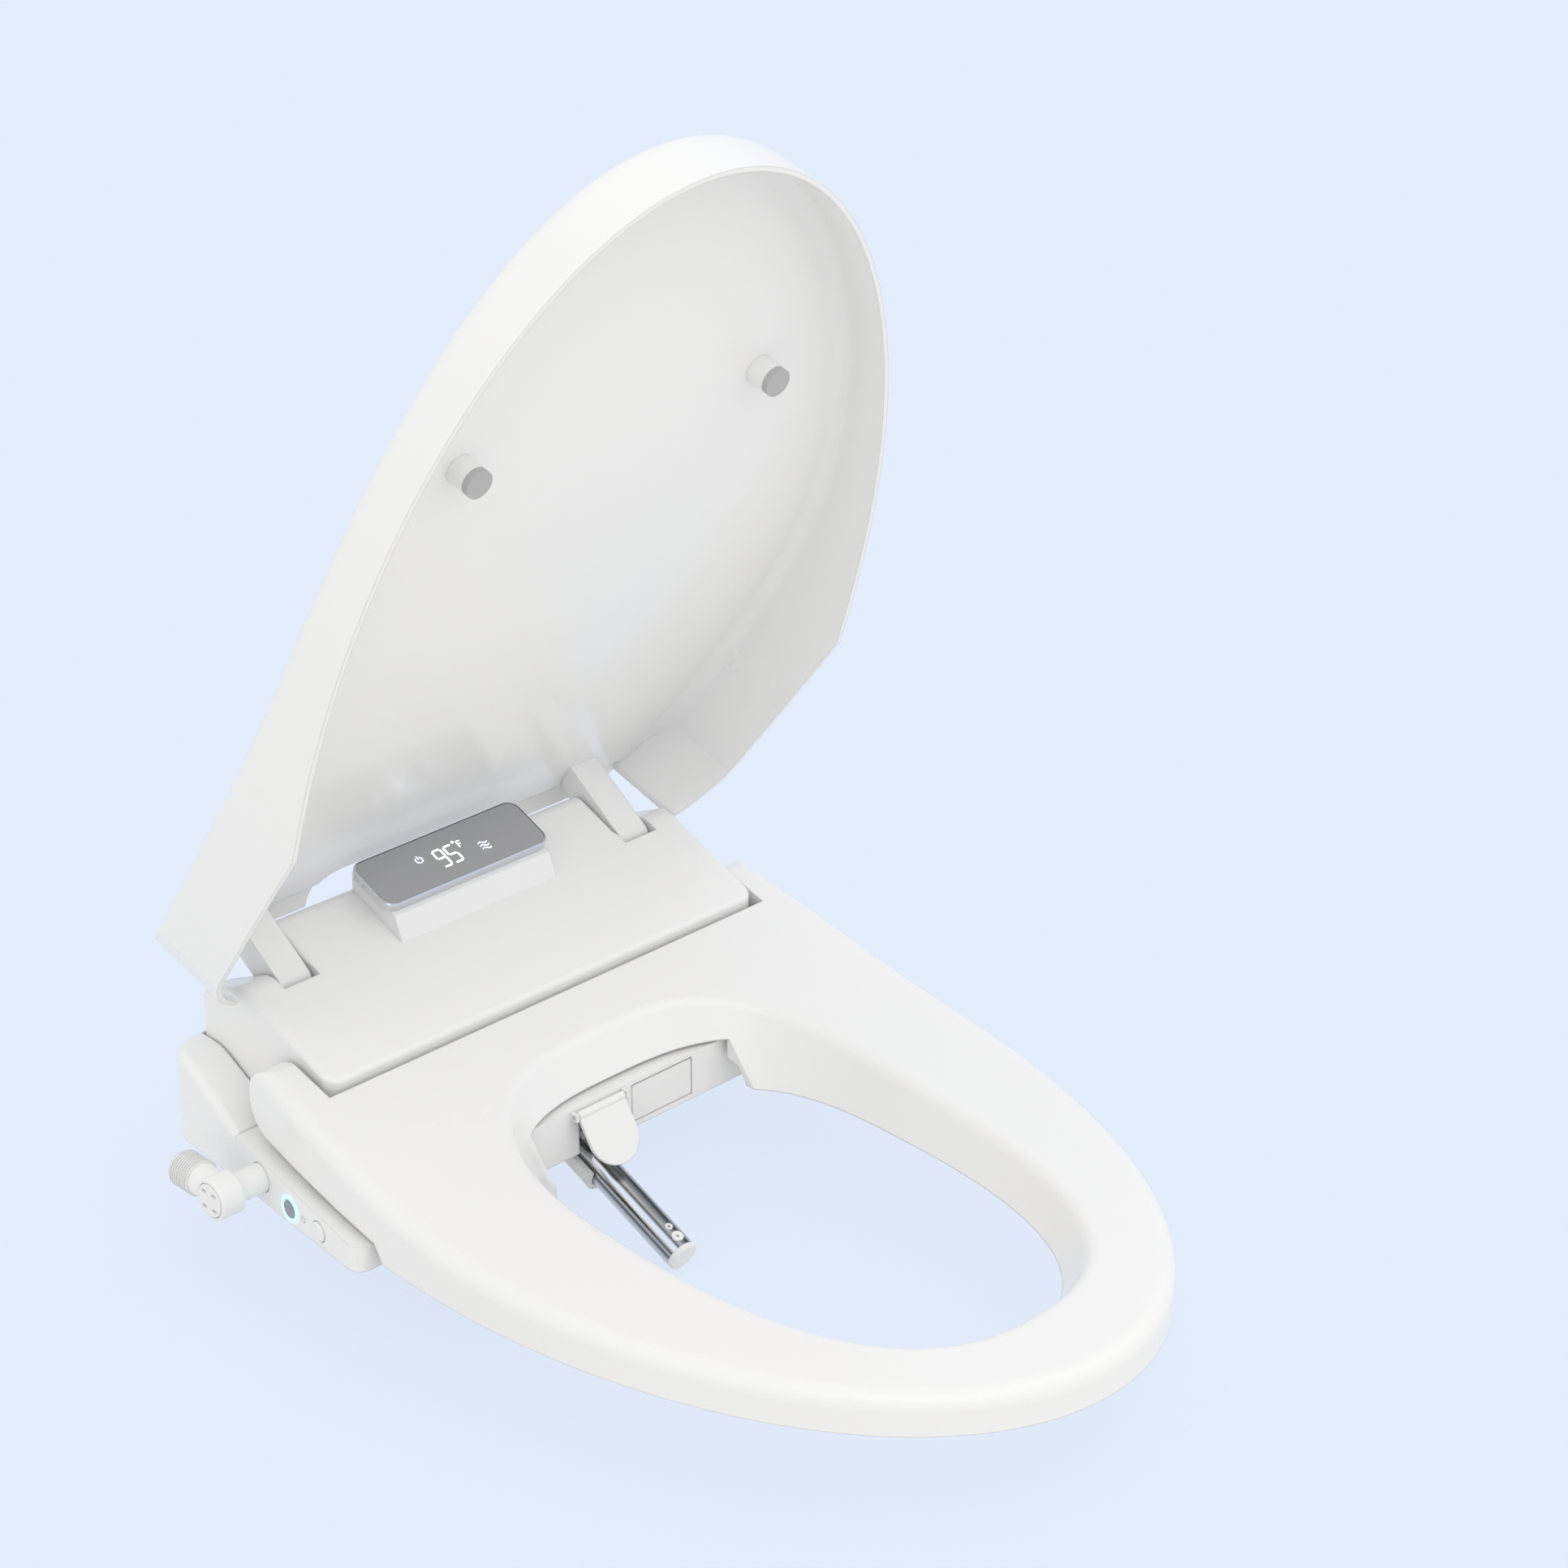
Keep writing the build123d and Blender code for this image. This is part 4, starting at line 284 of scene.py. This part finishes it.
letter_x = 7.4
letter_bar_v = 102.4
letter_middle_v = 100.3
unit_lines = [
    (arc(5.4, 102.9, 0.6, 0, 345, 14), True),
    ([(letter_x, 97.8), (letter_x, 102.6)], False),
    ([(7.15, letter_bar_v), (10.0, letter_bar_v)], False),
    ([(7.3, letter_middle_v), (9.6, letter_middle_v)], False),
]
display_mark("display_unit", unit_lines, unit_width)

display_mark("display_power_sign", power_sign(-20.4, 100.3, 2.2, bar_top=2.9), sign_width)

wave_x = 18.2
wave_v = 90.4
wave_pitch = 2.3
wave_high = 0.75
wave_bend = 1.05
wave_step = 0.25
wave_points = 25
wave_lines = []
for level in range(3):
    wave = []
    for i in range(wave_points):
        along = wave_step * i
        wave.append((wave_x + along, wave_v + level * wave_pitch + wave_high * math.sin(along * wave_bend)))
    wave_lines.append((wave, False))
display_mark("display_wave_sign", wave_lines, sign_width)

# Power sign printed in grey on the leaning flank, beside the side button
flank_lean = 0.094
flank_rear_half = 177.2
flank_rear_y = 58.0
lean = math.hypot(1, flank_lean)
flank_out = Vector((-1 / lean, flank_lean / lean, 0))
flank_along = Vector((-flank_lean / lean, -1 / lean, 0))
sign_y = -77.0
sign_z = 9.8
print_lift = 0.02
print_thick = 0.04
flank_half = flank_rear_half + flank_lean * (flank_rear_y - sign_y)
flank_origin = Vector((-flank_half, sign_y, sign_z)) * mm + flank_out * print_lift * mm
print_grey = finish_material("print_grey", (0.42, 0.43, 0.44), 0.5)
strokes(
    "side_power_sign", power_sign(0, 0, 1.9, bar_top=2.6), 0.45, flank_origin, flank_along, upward,
    flank_out, print_grey, "base", print_thick)

# Floor and backdrop: one pale blue for every ray that is looked along, plain light for the rest
pale = (0.752, 0.838, 0.991)


def looked_along(tree):
    """Socket that is 1 for camera, glossy and transmission rays."""
    path = tree.nodes.new("ShaderNodeLightPath")
    total = path.outputs["Is Camera Ray"]
    for kind in ("Is Glossy Ray", "Is Transmission Ray"):
        either = tree.nodes.new("ShaderNodeMath")
        either.operation = "MAXIMUM"
        tree.links.new(total, either.inputs[0])
        tree.links.new(path.outputs[kind], either.inputs[1])
        total = either.outputs[0]
    return total


def mixed(tree, share, first, second):
    """Mix of two shaders; share is a number or a socket."""
    mix = tree.nodes.new("ShaderNodeMixShader")
    if isinstance(share, float):
        mix.inputs["Fac"].default_value = share
    else:
        tree.links.new(share, mix.inputs["Fac"])
    tree.links.new(first, mix.inputs[1])
    tree.links.new(second, mix.inputs[2])
    return mix.outputs["Shader"]


floor_drop = 2 * mm
floor_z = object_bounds()[0].z - floor_drop
floor_glow = 0.88
reach = 12.0
floor_mesh = bpy.data.meshes.new("floor")
corners = [(x * reach, y * reach, floor_z) for x, y in ((-1, -1), (1, -1), (1, 1), (-1, 1))]
floor_mesh.from_pydata(corners, [], [(0, 1, 2, 3)])
floor = bpy.data.objects.new("floor", floor_mesh)
scene.collection.objects.link(floor)
floor_look = bpy.data.materials.new("floor")
floor_look.use_nodes = True
tree = floor_look.node_tree
tree.nodes.remove(tree.nodes["Principled BSDF"])
plain = tree.nodes.new("ShaderNodeBsdfDiffuse")
plain.inputs["Color"].default_value = (0.84, 0.84, 0.83, 1)
bright = tree.nodes.new("ShaderNodeEmission")
bright.inputs["Color"].default_value = (*pale, 1)
bright.inputs["Strength"].default_value = 1.0
shadowed = mixed(tree, floor_glow, plain.outputs["BSDF"], bright.outputs["Emission"])
chosen = mixed(tree, looked_along(tree), plain.outputs["BSDF"], shadowed)
tree.links.new(chosen, tree.nodes["Material Output"].inputs["Surface"])
floor_mesh.materials.append(floor_look)

world = bpy.data.worlds.new("studio")
scene.world = world
world.use_nodes = True
tree = world.node_tree
light_sky = tree.nodes["Background"]
light_sky.inputs["Color"].default_value = (1.0, 0.99, 0.975, 1)
light_sky.inputs["Strength"].default_value = 0.99
seen_sky = tree.nodes.new("ShaderNodeBackground")
seen_sky.inputs["Color"].default_value = (*pale, 1)
seen_sky.inputs["Strength"].default_value = 1.0
chosen = mixed(
    tree, looked_along(tree), light_sky.outputs["Background"], seen_sky.outputs["Background"])
tree.links.new(chosen, tree.nodes["World Output"].inputs["Surface"])


def soft_lamp(name, place, aim, size, power):
    """Round area lamp, with size in metres and power in watts."""
    data = bpy.data.lights.new(name, "AREA")
    data.shape = "DISK"
    data.size = size
    data.energy = power
    lamp = bpy.data.objects.new(name, data)
    scene.collection.objects.link(lamp)
    lamp.location = place
    lamp.rotation_mode = "QUATERNION"
    lamp.rotation_quaternion = (Vector(aim) - Vector(place)).to_track_quat("-Z", "Y")


soft_lamp("key", place=(1.2, -1.6, 2.6), aim=(0, -0.2, 0.1), size=2.2, power=5)
soft_lamp("fill", place=(-0.9, -1.9, 2.4), aim=(0, -0.1, 0.25), size=2.4, power=9)

# Camera at the photograph's viewing angle
camera_place = Vector((-1.1992, -1.4857, 1.1184))
camera_back = Vector((-0.6223, -0.6431, 0.4462)).normalized()
camera_right = Vector((0.7186, -0.6954, 0.0)).normalized()
camera_up = camera_back.cross(camera_right)
camera_data = bpy.data.cameras.new("camera")
camera_data.lens = 88.80
camera_data.shift_x = -0.0026
camera_data.shift_y = 0.0014
camera_data.sensor_width = 36.0
camera_data.clip_end = 60.0
camera = bpy.data.objects.new("camera", camera_data)
scene.collection.objects.link(camera)
camera_turn = Matrix((camera_right, camera_up, camera_back)).transposed()
camera.matrix_world = Matrix.Translation(camera_place) @ camera_turn.to_4x4()
scene.camera = camera

scene.view_settings.view_transform = "Standard"
